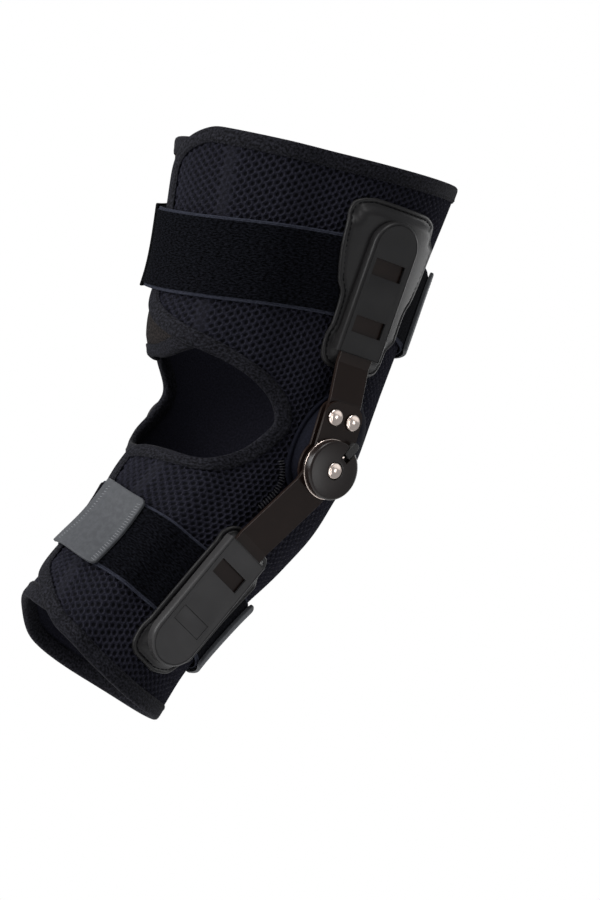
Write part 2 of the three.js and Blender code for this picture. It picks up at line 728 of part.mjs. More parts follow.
// The cushion between the wrap and the hinge, cut flat where the hinge sits on it.
function padGeometry() {
  const base = SHEET + CLEARANCE;
  const dome = HINGE_SEAT - KNEE_WIDTH + 2;
  const profile = [
    { radius: 0, height: base },
    { radius: 0.35, height: base },
    { radius: 0.7, height: base },
    { radius: 1, height: base },
    { radius: 1, height: base + PAD_RIM },
    { radius: 0.85, height: base + PAD_RIM + 2 },
    { radius: 0.72, height: 0.9 * dome },
    { radius: 0.4, height: dome },
    { radius: 0, height: dome },
  ];
  const points = profile.map((point) => new THREE.Vector2(point.radius, point.height));
  const geometry = new THREE.LatheGeometry(points, 14);
  const position = geometry.attributes.position;
  const rate = millimetresPerDegree(PAD_CENTRE, PAD_ANGLE);
  for (let i = 0; i < position.count; i += 1) {
    const along = PAD_CENTRE + PAD_HALF_HEIGHT * position.getX(i);
    const angle = PAD_ANGLE + (PAD_HALF_WIDTH * position.getZ(i)) / rate;
    const point = onLeg(along, angle, position.getY(i));
    position.setXYZ(i, point.x, point.y, point.z);
  }
  const far = 4 * PAD_HALF_HEIGHT;
  const beyondSeat = box(new THREE.Vector3(far, far, far), new THREE.Vector3(0, -HINGE_SEAT - far / 2, 0));
  return subtract(closed(geometry), beyondSeat);
}

function node(name, geometry, material) {
  const mesh = new THREE.Mesh(geometry, material);
  mesh.name = name;
  return mesh;
}

function plateRivet(name, across) {
  const geometry = rivetGeometry(BACK_PLATE_OUT, FRONT_PLATE_OUT + PLATE);
  geometry.translate(across, 0, PLATE_RIVET_UP).applyMatrix4(hingeTurn(true));
  return node(name, geometry, nickel);
}

// The hinge, its bars, pockets and pad on one side of the knee, built on the inner side and mirrored.
function hingeSide(side, mirror) {
  const group = new THREE.Group();
  group.scale.y = mirror;
  group.add(node(`${side}_condyle_pad`, padGeometry(), navyFabric));
  group.add(node(`${side}_back_plate`, plateGeometry(BACK_PLATE_OUT), brownBar));
  group.add(node(`${side}_upper_bar`, barGeometry(true), brownBar));
  group.add(node(`${side}_lower_bar`, barGeometry(false), brownBar));
  group.add(node(`${side}_front_plate`, plateGeometry(FRONT_PLATE_OUT), brownBar));
  group.add(node(`${side}_hinge_disc`, discGeometry(), glossDisc));
  group.add(node(`${side}_range_stop`, stopGeometry(), greyRubber));
  group.add(node(`${side}_pivot_rivet`, rivetGeometry(BACK_PLATE_OUT, DISC_OUT + DISC), nickel));
  group.add(plateRivet(`${side}_plate_rivet_back`, -PLATE_RIVET_ACROSS));
  group.add(plateRivet(`${side}_plate_rivet_front`, PLATE_RIVET_ACROSS));
  group.add(node(`${side}_upper_pocket`, pocketGeometry(true), pocketVinyl));
  group.add(node(`${side}_lower_pocket`, pocketGeometry(false), pocketVinyl));
  return group;
}

// A strap runs from the pocket on one side to the pocket on the other, round the back or the front.
function strapNodes(part, centre, width) {
  const strap = { centre, width, height: STRAP_HEIGHT, thickness: STRAP };
  const tab = { centre, width: width + 2 * TAB_OVERHANG, height: TAB_HEIGHT, thickness: TAB, columns: 6 };
  const backTab = centre > 0 ? THIGH_BACK_TAB : SHIN_BACK_TAB;
  const backMaterial = centre > 0 ? pileStrap : greyRubber;
  return [
    node(`${part}_back_strap`, bandGeometry({ ...strap, ...BACK_STRAP, columns: 21 }), pileStrap),
    node(`${part}_front_strap`, bandGeometry({ ...strap, ...FRONT_STRAP, columns: 14 }), pileStrap),
    node(`${part}_back_tab`, bandGeometry({ ...tab, ...backTab }), backMaterial),
    node(`${part}_front_tab`, bandGeometry({ ...tab, ...FRONT_TAB }), greyRubber),
  ];
}

const wrapEdge = edgeLoop(WRAP_COLUMNS, WRAP_ROWS.length - 1, wrapPlace);
const closureEdge = edgeLoop(CLOSURE_COLUMNS, CLOSURE_ROWS, closurePlace);
const brace = new THREE.Group();
brace.add(node('wrap', wrapGeometry(), meshFabric));
brace.add(node('wrap_binding', tapeGeometry(wrapEdge, flapLift), knitTape));
brace.add(node('thigh_closure', closureGeometry(), loopFabric));
brace.add(node('closure_binding', tapeGeometry(closureEdge, () => 0), knitTape));
brace.add(...strapNodes('thigh', THIGH_STRAP_ALONG, THIGH_STRAP_WIDTH));
brace.add(...strapNodes('shin', SHIN_STRAP_ALONG, SHIN_STRAP_WIDTH));
brace.add(hingeSide('inner', 1));
brace.add(hingeSide('outer', -1));

export default brace;
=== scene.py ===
import math

import bmesh
import bpy
import numpy as np
from mathutils import Matrix, Vector


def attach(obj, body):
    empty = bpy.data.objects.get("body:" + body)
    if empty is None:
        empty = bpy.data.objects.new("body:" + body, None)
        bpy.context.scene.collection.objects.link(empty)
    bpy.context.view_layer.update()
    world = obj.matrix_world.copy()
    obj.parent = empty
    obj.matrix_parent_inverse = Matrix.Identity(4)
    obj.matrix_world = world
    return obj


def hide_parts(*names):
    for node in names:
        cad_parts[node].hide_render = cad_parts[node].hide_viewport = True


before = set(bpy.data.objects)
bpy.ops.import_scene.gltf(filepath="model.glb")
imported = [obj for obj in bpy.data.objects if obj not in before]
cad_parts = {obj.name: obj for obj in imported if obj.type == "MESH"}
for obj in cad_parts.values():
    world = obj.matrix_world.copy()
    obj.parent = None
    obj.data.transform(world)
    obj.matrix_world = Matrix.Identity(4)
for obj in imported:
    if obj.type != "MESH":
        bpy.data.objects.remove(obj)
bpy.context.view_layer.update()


# The wrap: one sheet of black knitted spacer mesh, about 3 mm thick, sewn to the shape of a bent leg. It
# has a flap behind the thigh, a flap behind the shin and an opening behind the knee, and its outer face
# is a field of small oval cells in staggered columns.

MM = 0.001
THIGH = 167.0
SHIN = 150.0
KNEE_DEPTH = 63.0
KNEE_WIDTH = 57.0
FLEXION = math.radians(28)
BEND_REACH = 45.0
CLEARANCE = 0.35
SHEET = 2.8
FLAP_LIFT = 4.6
FLAP_RAMP = (-116.0, -136.0)
TOP_DIP = 4.5
HEM_DIP = 5.5
CELL_WIDTH = 3.9
CELL_LENGTH = 4.3
CELL_DEPTH = 1.25
HOLE_SHARE = 0.36

# place, front, back, side
LEG_FORM = [
    (-1.1, 0.87, 0.66, 0.83),
    (-0.85, 0.8, 0.64, 0.815),
    (-0.6, 0.81, 0.585, 0.855),
    (-0.3, 0.92, 0.7, 0.94),
    (0, 1, 0.95, 1),
    (0.21, 1.015, 1, 1.05),
    (0.42, 1.05, 1.11, 1.105),
    (0.72, 1.11, 1.23, 1.175),
    (1.02, 1.19, 1.39, 1.245),
]

# place, angle
INNER_EDGE = [
    (-1, -151), (-0.98, -165), (-0.955, -176), (-0.905, -192), (-0.85, -200), (-0.75, -203),
    (-0.42, -202), (-0.325, -197), (-0.295, -193), (-0.275, -180), (-0.262, -163), (-0.25, -150),
    (-0.235, -142), (-0.2, -134), (-0.087, -120), (0.015, -113), (0.066, -110), (0.1, -112),
    (0.15, -118), (0.215, -133), (0.255, -149), (0.278, -163), (0.3, -174), (0.335, -185),
    (0.39, -191), (0.82, -192), (0.92, -185), (0.965, -177), (1, -166),
]
OUTER_EDGE = [
    (-1, 207), (-0.9, 209), (-0.42, 209), (-0.34, 206), (-0.305, 193), (-0.276, 172), (-0.25, 150),
    (-0.235, 142), (-0.2, 134), (-0.087, 120), (0.015, 113), (0.066, 110), (0.1, 112), (0.15, 120),
    (0.2, 130), (0.25, 132), (0.9, 132), (0.96, 129), (1, 119),
]
HEM_LINE = [
    (-1.2, -0.3), (-1, -0.1), (-0.8, 1.2), (-0.6, 1.9), (-0.43, 1.8), (-0.18, 0.5), (0, 0),
    (0.18, -0.1), (0.5, 0.6), (0.65, -0.6), (0.8, -1.25), (1, -0.4), (1.17, 0),
]


def smooth(t):
    t = np.clip(t, 0.0, 1.0)
    return t * t * (3.0 - 2.0 * t)


def read(rows, column, at):
    """A column of a table between its rows, along a smooth curve through them."""
    at = np.asarray(at, float)
    places = np.array([row[0] for row in rows], float)
    values = np.array([row[column] for row in rows], float)
    last = len(rows) - 1
    before = np.maximum(np.arange(last + 1) - 1, 0)
    after = np.minimum(np.arange(last + 1) + 1, last)
    slopes = (values[after] - values[before]) / (places[after] - places[before])
    k = np.clip(np.searchsorted(places, at) - 1, 0, last - 1)
    span = places[k + 1] - places[k]
    t = np.clip((at - places[k]) / span, 0.0, 1.0)
    ease = t * t * (3.0 - 2.0 * t)
    leave = t * (1.0 - t) ** 2 * span * slopes[k]
    arrive = t * t * (t - 1.0) * span * slopes[k + 1]
    return values[k] + (values[k + 1] - values[k]) * ease + leave + arrive


def share_of(along):
    return along / np.where(along > 0, THIGH, SHIN)


def leg(along, angle, height):
    """Points on the leg: a distance along it, an angle round it and a height above it, in millimetres."""
    along, angle, height = np.broadcast_arrays(
        np.asarray(along, float), np.asarray(angle, float), np.asarray(height, float)
    )
    share = share_of(along)
    front = KNEE_DEPTH * read(LEG_FORM, 1, share)
    back = KNEE_DEPTH * read(LEG_FORM, 2, share)
    side = KNEE_WIDTH * read(LEG_FORM, 3, share)
    turn = np.radians(angle)
    depth = (front + back) / 2 + (front - back) / 2 * np.cos(turn)
    out_x = np.cos(turn) / depth
    out_y = np.sin(turn) / side
    size = np.hypot(out_x, out_y)
    kneecap = 3.0 * np.exp(-(((along - 0.02 * THIGH) / (0.17 * THIGH)) ** 2) - (angle / 24.0) ** 2)
    lift = height + kneecap
    forward = depth * np.cos(turn) + lift * out_x / size
    sideways = side * np.sin(turn) + lift * out_y / size
    radius = 2 * BEND_REACH / FLEXION
    tilt = FLEXION * np.clip((BEND_REACH - along) / (2 * BEND_REACH), 0.0, 1.0)
    above = np.maximum(along - BEND_REACH, 0.0)
    below = np.minimum(along + BEND_REACH, 0.0)
    centre_x = -1.0 - radius * (1 - np.cos(tilt)) + below * math.sin(FLEXION)
    centre_z = radius * math.tan(FLEXION / 2) - radius * np.sin(tilt) + above + below * math.cos(FLEXION)
    x = centre_x + forward * np.cos(tilt)
    z = centre_z - forward * np.sin(tilt)
    return np.stack([x, sideways, z], -1) * MM


def flap_lift(angle):
    start, end = FLAP_RAMP
    return FLAP_LIFT * smooth((start - angle) / (start - end))


def slack(along, angle):
    """How far the cloth stands off behind the thigh, below the strap, in millimetres."""
    return 7.0 * np.exp(-(((along - 49) / 26) ** 2)) * smooth((np.abs(angle) - 135) / 30)


def folds(along, angle):
    """Shallow folds of the worn cloth, in millimetres, fading out under the pockets."""
    clear = smooth((np.abs(np.abs(angle) - 84) - 26) / 14)
    bent = 0.55 * np.sin(along / 6.5 + angle / 30) * np.exp(-((along + 8) / 42) ** 2)
    shin = 0.45 * np.sin((along + angle * 0.25) / 9) * smooth((-along - 20) / 60)
    thigh = 0.4 * np.sin((along * 0.5 - angle * 0.45) / 7) * smooth((along - 30) / 60)
    return clear * (bent + shin + thigh) + slack(along, angle)


# Distances round the sheet, measured from the front, let the knit keep its real size on the leg.
ARC_ALONG = np.arange(-172.0, 184.0, 2.0)
ARC_ANGLE = np.arange(-280.0, 223.0, 1.0)
around = leg(ARC_ALONG[:, None], ARC_ANGLE[None, :], SHEET) / MM
steps = np.linalg.norm(np.diff(around, axis=1), axis=2)
ARCS = np.concatenate([np.zeros((len(ARC_ALONG), 1)), np.cumsum(steps, axis=1)], axis=1)
ARCS -= ARCS[:, [int(np.argmin(np.abs(ARC_ANGLE)))]]


def between_rows(along):
    k = np.clip(((along - ARC_ALONG[0]) / 2.0).astype(int), 0, len(ARC_ALONG) - 2)
    return k, np.clip((along - ARC_ALONG[k]) / 2.0, 0.0, 1.0)


def arc_of(along, angle):
    """The distance round the sheet from the front to an angle."""
    along, angle = np.broadcast_arrays(np.asarray(along, float), np.asarray(angle, float))
    k, part = between_rows(along)
    j = np.clip((angle - ARC_ANGLE[0]).astype(int), 0, len(ARC_ANGLE) - 2)
    step = np.clip(angle - ARC_ANGLE[j], -3.0, 4.0)
    low = ARCS[k, j] + (ARCS[k, j + 1] - ARCS[k, j]) * step
    high = ARCS[k + 1, j] + (ARCS[k + 1, j + 1] - ARCS[k + 1, j]) * step
    return low + (high - low) * part


def angle_of(along, arc):
    """The angle at a distance round the sheet from the front."""
    along, arc = np.broadcast_arrays(np.asarray(along, float), np.asarray(arc, float))
    shape = along.shape
    along, arc = along.ravel(), arc.ravel()
    k, part = between_rows(along)
    angle = np.empty_like(arc)
    for row in np.unique(k):
        here = k == row
        low = np.interp(arc[here], ARCS[row], ARC_ANGLE)
        high = np.interp(arc[here], ARCS[row + 1], ARC_ANGLE)
        angle[here] = low + (high - low) * part[here]
    return angle.reshape(shape)


def even_loop(points, step, rounds=4):
    """A closed line through points, resampled at even steps, with its corners eased."""
    closed = np.vstack([points, points[:1]])
    run = np.concatenate([[0], np.cumsum(np.linalg.norm(np.diff(closed, axis=0), axis=1))])
    count = int(round(run[-1] / step))
    at = np.arange(count) * run[-1] / count
    line = np.stack([np.interp(at, run, closed[:, 0]), np.interp(at, run, closed[:, 1])], 1)
    for _ in range(rounds):
        line = (np.roll(line, 1, 0) + 2 * line + np.roll(line, -1, 0)) / 4
    return line


def inside_distance(places, loop):
    """How far each place lies inside a closed line, below zero where it is outside."""
    start, end = loop, np.roll(loop, -1, 0)
    edge = end - start
    length2 = (edge**2).sum(1)
    result = np.empty(len(places))
    for first in range(0, len(places), 2000):
        p = places[first : first + 2000, None, :]
        t = np.clip(((p - start) * edge).sum(2) / length2, 0, 1)
        near = np.linalg.norm(p - (start + t[..., None] * edge), axis=2).min(1)
        rises = (start[:, 1] > p[..., 1]) != (end[:, 1] > p[..., 1])
        slope = edge[:, 0] / np.where(edge[:, 1] == 0, 1e-9, edge[:, 1])
        crosses = rises & (p[..., 0] < start[:, 0] + (p[..., 1] - start[:, 1]) * slope)
        result[first : first + 2000] = np.where(crosses.sum(1) % 2 == 1, near, -near)
    return result


def wrap_along(share, angle):
    top = TOP_DIP * np.cos(np.radians(angle)) * smooth((share - 0.7) / 0.3)
    hem = HEM_DIP * read(HEM_LINE, 1, angle / 180.0) * smooth((-share - 0.7) / 0.3)
    return share * np.where(share > 0, THIGH, SHIN) + top - hem


def wrap_outline():
    up = np.linspace(-1, 1, 500)
    across = np.linspace(0, 1, 200)[1:-1]
    inner = read(INNER_EDGE, 1, up)
    outer = read(OUTER_EDGE, 1, up)
    hem = inner[0] + (outer[0] - inner[0]) * across
    top = outer[-1] + (inner[-1] - outer[-1]) * across
    share = np.concatenate([np.full(len(hem), -1.0), up, np.full(len(top), 1.0), up[::-1]])
    angle = np.concatenate([hem, outer, top, inner[::-1]])
    along = wrap_along(share, angle)
    return even_loop(np.stack([arc_of(along, angle), along], 1), 2.0, 5)


def new_piece(name, vertices, faces, places=None, tone=None):
    """A piece from vertices in metres, with its UV map in millimetres of cloth and a tone for each vertex."""
    mesh = bpy.data.meshes.new(name)
    mesh.from_pydata(np.asarray(vertices).tolist(), [], faces)
    mesh.validate()
    if places is not None:
        corner = np.empty(len(mesh.loops), int)
        mesh.loops.foreach_get("vertex_index", corner)
        layer = mesh.uv_layers.new(name="cloth")
        layer.data.foreach_set("uv", np.asarray(places, float)[corner].ravel())
    shade = mesh.attributes.new("tone", "FLOAT", "POINT")
    shade.data.foreach_set("value", np.ones(len(mesh.vertices)) if tone is None else np.asarray(tone, float))
    piece = bpy.data.objects.new(name, mesh)
    bpy.context.scene.collection.objects.link(piece)
    return piece


def outward(piece):
    """Turns the faces of a closed piece outward."""
    shape = bmesh.new()
    shape.from_mesh(piece.data)
    bmesh.ops.recalc_face_normals(shape, faces=shape.faces)
    if shape.calc_volume(signed=True) < 0:
        bmesh.ops.reverse_faces(shape, faces=shape.faces)
    shape.to_mesh(piece.data)
    shape.free()


def shade_smooth(piece, angle=60):
    bpy.ops.object.select_all(action="DESELECT")
    piece.select_set(True)
    bpy.context.view_layer.objects.active = piece
    bpy.ops.object.shade_smooth_by_angle(angle=math.radians(angle))


def tidy_piece(piece, material, angle=60, body="root"):
    outward(piece)
    shade_smooth(piece, angle)
    piece.data.materials.clear()
    piece.data.materials.append(material)
    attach(piece, body)
    return piece


def cell_sheet(name, loop, keep_in, lift_at, relief_at):
    """A sheet of hexagonal cells inside a closed line, ridged on its outer face and plain on its inner."""
    low, high = loop.min(0), loop.max(0)
    rows = np.arange(int(low[1] / CELL_LENGTH) - 2, int(high[1] / CELL_LENGTH) + 3)
    columns = np.arange(int(low[0] / (0.75 * CELL_WIDTH)) - 1, int(high[0] / (0.75 * CELL_WIDTH)) + 2)
    row, column = [grid.ravel() for grid in np.meshgrid(rows, columns, indexing="ij")]
    key_x, key_y = 3 * column, 2 * row + column % 2
    unit = np.array([CELL_WIDTH / 4, CELL_LENGTH / 2])
    centres = np.stack([key_x, key_y], 1) * unit
    kept = inside_distance(centres, loop) > keep_in
    key_x, key_y, centres = key_x[kept], key_y[kept], centres[kept]
    turn = [(2, 0), (1, 1), (-1, 1), (-2, 0), (-1, -1), (1, -1)]
    corner_keys = np.stack([np.stack([key_x + dx, key_y + dy], 1) for dx, dy in turn], 1)
    flat_keys = corner_keys.reshape(-1, 2)
    unique, index = np.unique(flat_keys, axis=0, return_inverse=True)
    index = index.reshape(-1, 6)
    ridge = unique * unit
    inset = (centres[:, None, :] + HOLE_SHARE * (corner_keys * unit - centres[:, None, :])).reshape(-1, 2)
    places = np.vstack([ridge, inset, ridge])
    places[:, 0] += 0.22 * np.sin(places[:, 1] * 0.61 + places[:, 0] * 0.23)
    places[:, 1] += 0.2 * np.sin(places[:, 0] * 0.83 - places[:, 1] * 0.19)
    angles = angle_of(places[:, 1], places[:, 0])
    relief = relief_at(places)
    wave = folds(places[:, 1], angles) + lift_at(angles)
    count, cells = len(ridge), len(centres)
    height = wave + SHEET
    height[count : count + 6 * cells] -= CELL_DEPTH * relief[count : count + 6 * cells]
    height[:count] -= 0.25 * (1 - relief[:count])
    height[count + 6 * cells :] = wave[count + 6 * cells :]
    faces = []
    floor = count + np.arange(cells * 6).reshape(-1, 6)
    under = index + count + 6 * cells
    for a in range(6):
        b = (a + 1) % 6
        faces.append(np.stack([index[:, a], index[:, b], floor[:, b], floor[:, a]], 1))
    quads = np.vstack(faces)
    edges = np.vstack([np.stack([index[:, a], index[:, (a + 1) % 6]], 1) for a in range(6)])
    ordered = np.sort(edges, axis=1)
    _, which, times = np.unique(ordered, axis=0, return_inverse=True, return_counts=True)
    rim = edges[times[which.ravel()] == 1]
    walls = np.stack([rim[:, 1], rim[:, 0], rim[:, 0] + count + 6 * cells, rim[:, 1] + count + 6 * cells], 1)
    all_faces = quads.tolist() + floor.tolist() + under[:, ::-1].tolist() + walls.tolist()
    # The tone paints light and shade: painted light on the ridges and painted shade on the hole floors, both stronger
    # where the relief is deeper.
    tone = 0.2 + 0.8 * relief
    tone[count : count + 6 * cells] = 0.3 * (1 - relief[count : count + 6 * cells])
    return new_piece(name, leg(places[:, 1], angles, height), all_faces, places, tone)


# A stitched band runs down each flap, where the sheet is joined; each row gives an angle and a place.
FLAP_SEAMS = [((-156, 168), (-157, 45)), ((-160, -38), (-163, -140))]


def seam_relief(places):
    """1 on open mesh, and less on the flat stitched bands."""
    angles = angle_of(places[:, 1], places[:, 0])
    relief = np.ones(len(places))
    for start, end in FLAP_SEAMS:
        first = np.array([arc_of(start[1], start[0]), start[1]], float).ravel()
        last = np.array([arc_of(end[1], end[0]), end[1]], float).ravel()
        edge = last - first
        t = np.clip(((places - first) @ edge) / (edge @ edge), 0, 1)
        near = np.linalg.norm(places - (first + t[:, None] * edge), axis=1)
        relief *= np.where(angles < -100, 0.3 + 0.7 * smooth((near - 2.0) / 2.5), 1)
    return relief


def fibre_group():
    """Fine fibres: a fuzzy height, a mask of lit specks, and a slow change of shade over the cloth."""
    group = bpy.data.node_groups.new("fibres", "ShaderNodeTree")
    group.interface.new_socket(name="Place", in_out="INPUT", socket_type="NodeSocketVector")
    group.interface.new_socket(name="Grain", in_out="INPUT", socket_type="NodeSocketFloat")
    group.interface.new_socket(name="Stretch", in_out="INPUT", socket_type="NodeSocketVector")
    group.interface.new_socket(name="Height", in_out="OUTPUT", socket_type="NodeSocketFloat")
    group.interface.new_socket(name="Specks", in_out="OUTPUT", socket_type="NodeSocketFloat")
    group.interface.new_socket(name="Shade", in_out="OUTPUT", socket_type="NodeSocketFloat")
    entry = group.nodes.new("NodeGroupInput")
    leave = group.nodes.new("NodeGroupOutput")
    pull = group.nodes.new("ShaderNodeVectorMath")
    pull.operation = "MULTIPLY"
    fuzz = group.nodes.new("ShaderNodeTexNoise")
    fuzz.inputs["Detail"].default_value = 3
    fuzz.inputs["Roughness"].default_value = 0.6
    specks = group.nodes.new("ShaderNodeMapRange")
    specks.inputs["From Min"].default_value = 0.4
    specks.inputs["From Max"].default_value = 0.66
    slow = group.nodes.new("ShaderNodeTexNoise")
    slow.inputs["Scale"].default_value = 0.06
    slow.inputs["Detail"].default_value = 2
    group.links.new(entry.outputs["Place"], pull.inputs[0])
    group.links.new(entry.outputs["Stretch"], pull.inputs[1])
    group.links.new(pull.outputs["Vector"], fuzz.inputs["Vector"])
    group.links.new(entry.outputs["Grain"], fuzz.inputs["Scale"])
    group.links.new(fuzz.outputs["Fac"], specks.inputs["Value"])
    group.links.new(entry.outputs["Place"], slow.inputs["Vector"])
    group.links.new(fuzz.outputs["Fac"], leave.inputs["Height"])
    group.links.new(specks.outputs["Result"], leave.inputs["Specks"])
    group.links.new(slow.outputs["Fac"], leave.inputs["Shade"])
    return group


FIBRES = fibre_group()


def cloth_material(name, dark, light, grain, stretch=(1, 1, 1), swing=0.6, painted_glint=0.0, bump=0.5, roughness=0.8, gloss=0.08):
    """A knitted or woven finish. The light colour follows the tone of the vertices, broken up by specks. On the mesh
    that tone is painted shade in the cell holes and painted light on the ridges; on the pile a share of light specks
    stands for painted glints of the fibres.
    """
    material = bpy.data.materials.new(name)
    material.use_nodes = True
    nodes, links = material.node_tree.nodes, material.node_tree.links
    shader = nodes["Principled BSDF"]
    shader.inputs["Roughness"].default_value = roughness
    shader.inputs["Specular IOR Level"].default_value = gloss
    place = nodes.new("ShaderNodeUVMap")
    place.uv_map = "cloth"
    fibres = nodes.new("ShaderNodeGroup")
    fibres.node_tree = FIBRES
    fibres.inputs["Grain"].default_value = grain
    fibres.inputs["Stretch"].default_value = stretch
    tone = nodes.new("ShaderNodeAttribute")
    tone.attribute_name = "tone"
    broken = nodes.new("ShaderNodeMath")
    broken.operation = "MULTIPLY_ADD"
    broken.inputs[1].default_value = swing
    broken.inputs[2].default_value = 1 - swing
    crest = nodes.new("ShaderNodeMapRange")
    crest.interpolation_type = "SMOOTHSTEP"
    crest.inputs["From Min"].default_value = 0.02
    crest.inputs["From Max"].default_value = 0.6
    raised = nodes.new("ShaderNodeMath")
    raised.operation = "MULTIPLY"
    lit = nodes.new("ShaderNodeMath")
    lit.operation = "MULTIPLY_ADD"
    lit.inputs[1].default_value = painted_glint
    lit.use_clamp = True
    mix = nodes.new("ShaderNodeMix")
    mix.data_type = "RGBA"
    mix.inputs["A"].default_value = (*dark, 1)
    mix.inputs["B"].default_value = (*light, 1)
    relief = nodes.new("ShaderNodeBump")
    relief.inputs["Strength"].default_value = bump
    relief.inputs["Distance"].default_value = 0.0006
    links.new(place.outputs["UV"], fibres.inputs["Place"])
    links.new(fibres.outputs["Specks"], broken.inputs[0])
    links.new(tone.outputs["Fac"], crest.inputs["Value"])
    links.new(crest.outputs["Result"], raised.inputs[0])
    links.new(broken.outputs[0], raised.inputs[1])
    links.new(fibres.outputs["Specks"], lit.inputs[0])
    links.new(raised.outputs[0], lit.inputs[2])
    links.new(lit.outputs[0], mix.inputs["Factor"])
    links.new(mix.outputs["Result"], shader.inputs["Base Color"])
    links.new(fibres.outputs["Height"], relief.inputs["Height"])
    links.new(relief.outputs["Normal"], shader.inputs["Normal"])
    return material


# The light ridges and dark hole floors come from the vertex tone: painted light and painted shade on the cells.
mesh_fabric = cloth_material("mesh_fabric", (0.0028, 0.0028, 0.0045), (0.0155, 0.0155, 0.0245), 0.9, bump=0.9)
wrap_loop = wrap_outline()
wrap = cell_sheet("wrap_fabric", wrap_loop, 2.4, flap_lift, seam_relief)
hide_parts("wrap")
tidy_piece(wrap, mesh_fabric, 75)


# The binding: black knitted tape, 8 mm wide on each face, folded over every edge of the wrap and sewn
# through with one row of stitches. It is what keeps the cut mesh from fraying.

BINDING = [
    (7.6, -0.15), (7.8, -0.6), (7.2, -0.85), (4, -1.0), (1, -0.95), (-0.3, -0.6), (-1.05, 0.3), (-1.2, 1.4),
    (-1.05, 2.6), (-0.3, 3.4), (1, 3.75), (2.6, 3.8), (4.4, 3.75), (6.4, 3.85), (7.7, 3.65), (8.1, 3.2),
    (7.7, 2.85), (4, 2.9), (1, 2.9), (0.1, 2.2), (0.1, 0.4), (1, -0.15), (4, -0.15),
]


def inward_of(loop):
    ahead = np.roll(loop, -1, 0) - np.roll(loop, 1, 0)
    ahead /= np.linalg.norm(ahead, axis=1)[:, None]
    return np.stack([-ahead[:, 1], ahead[:, 0]], 1)


def edge_tape(name, loop, section, lift_at):
    """Sweeps a section along a closed line on the leg; each corner is a distance inward and a height."""
    inward = inward_of(loop)
    run = np.concatenate([[0], np.cumsum(np.linalg.norm(np.diff(loop, axis=0), axis=1))])
    vertices, places = [], []
    girth = 0.0
    for k, (reach, height) in enumerate(section):
        here = loop + inward * reach
        angles = angle_of(here[:, 1], here[:, 0])
        at_edge = angle_of(loop[:, 1], loop[:, 0])
        lift = height + lift_at(angles) + folds(here[:, 1], angles)
        vertices.append(leg(here[:, 1], angles, lift))
        if k:
            girth += math.dist(section[k], section[k - 1])
        places.append(np.stack([run, np.full(len(loop), girth)], 1))
    count, ring = len(loop), len(section)
    faces = []
    for k in range(ring):
        for i in range(count):
            j, m = (i + 1) % count, (k + 1) % ring
            faces.append((k * count + i, k * count + j, m * count + j, m * count + i))
    return new_piece(name, np.vstack(vertices), faces, np.vstack(places))


def stitches_along(line, length, gap, closed=True):
    """The two ends of each stitch of a running seam along a line."""
    if closed:
        line = np.vstack([line, line[:1]])
    run = np.concatenate([[0], np.cumsum(np.linalg.norm(np.diff(line, axis=0), axis=1))])
    count = max(int(run[-1] / (length + gap)), 1)
    start = np.arange(count) * run[-1] / count
    ends = [np.stack([np.interp(at, run, line[:, 0]), np.interp(at, run, line[:, 1])], 1) for at in (start, start + length)]
    return np.stack(ends, 1)


def stitches_across(line, length, pitch, slant=0.0):
    """The two ends of each stitch of an overcast seam, which cross a line."""
    start = stitches_along(line, pitch * 0.5, pitch * 0.5, closed=False)
    ahead = start[:, 1] - start[:, 0]
    ahead /= np.linalg.norm(ahead, axis=1)[:, None]
    across = np.stack([-ahead[:, 1], ahead[:, 0]], 1)
    middle = start[:, 0]
    lean = ahead * slant
    return np.stack([middle - across * length / 2 - lean, middle + across * length / 2 + lean], 1)


def thread(name, stitches, height_at, radius):
    """Short round stitches on the leg, each thin at its two ends where the thread goes in."""
    rings = np.array([(0.0, 0.4, -0.6), (0.2, 1.0, 0.0), (0.8, 1.0, 0.0), (1.0, 0.4, -0.6)])
    turn = np.arange(6) * math.pi / 3
    start, end = stitches[:, 0], stitches[:, 1]
    ahead = end - start
    ahead /= np.linalg.norm(ahead, axis=1)[:, None]
    across = np.stack([-ahead[:, 1], ahead[:, 0]], 1)
    middle = start[:, None] + (end - start)[:, None] * rings[:, 0][None, :, None]
    side = (radius * rings[:, 1][:, None] * np.cos(turn)[None, :])[None, :, :, None]
    spots = middle[:, :, None] + across[:, None, None] * side
    rise = radius * (rings[:, 1][:, None] * np.sin(turn)[None, :] + rings[:, 2][:, None])
    spots = spots.reshape(-1, 2)
    rise = np.broadcast_to(rise, (len(stitches), 4, 6)).ravel()
    angles = angle_of(spots[:, 1], spots[:, 0])
    height = height_at(spots[:, 1], angles) + rise
    faces = []
    for base in range(0, len(spots), 24):
        for ring in range(base, base + 18, 6):
            for s in range(6):
                n = (s + 1) % 6
                faces.append((ring + s, ring + n, ring + 6 + n, ring + 6 + s))
        faces.append(tuple(base + s for s in reversed(range(6))))
        faces.append(tuple(base + 18 + s for s in range(6)))
    return new_piece(name, leg(spots[:, 1], angles, height), faces, spots)


knit_tape = cloth_material("knit_tape", (0.0012, 0.0012, 0.002), (0.0165, 0.0165, 0.022), 0.7, swing=1.0, bump=0.9)
thread_black = cloth_material("thread_black", (0.002, 0.002, 0.0025), (0.008, 0.008, 0.0095), 2.0, bump=0.3)
binding = edge_tape("wrap_edge_tape", wrap_loop, BINDING, flap_lift)
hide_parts("wrap_binding")
tidy_piece(binding, knit_tape, 50)
tape_stitches = thread(
    "wrap_tape_stitches",
    stitches_along(wrap_loop + inward_of(wrap_loop) * 6.6, 2.2, 1.3),
    lambda along, angle: 3.8 + flap_lift(angle) + folds(along, angle),
    0.26,
)
tidy_piece(tape_stitches, thread_black, 60)


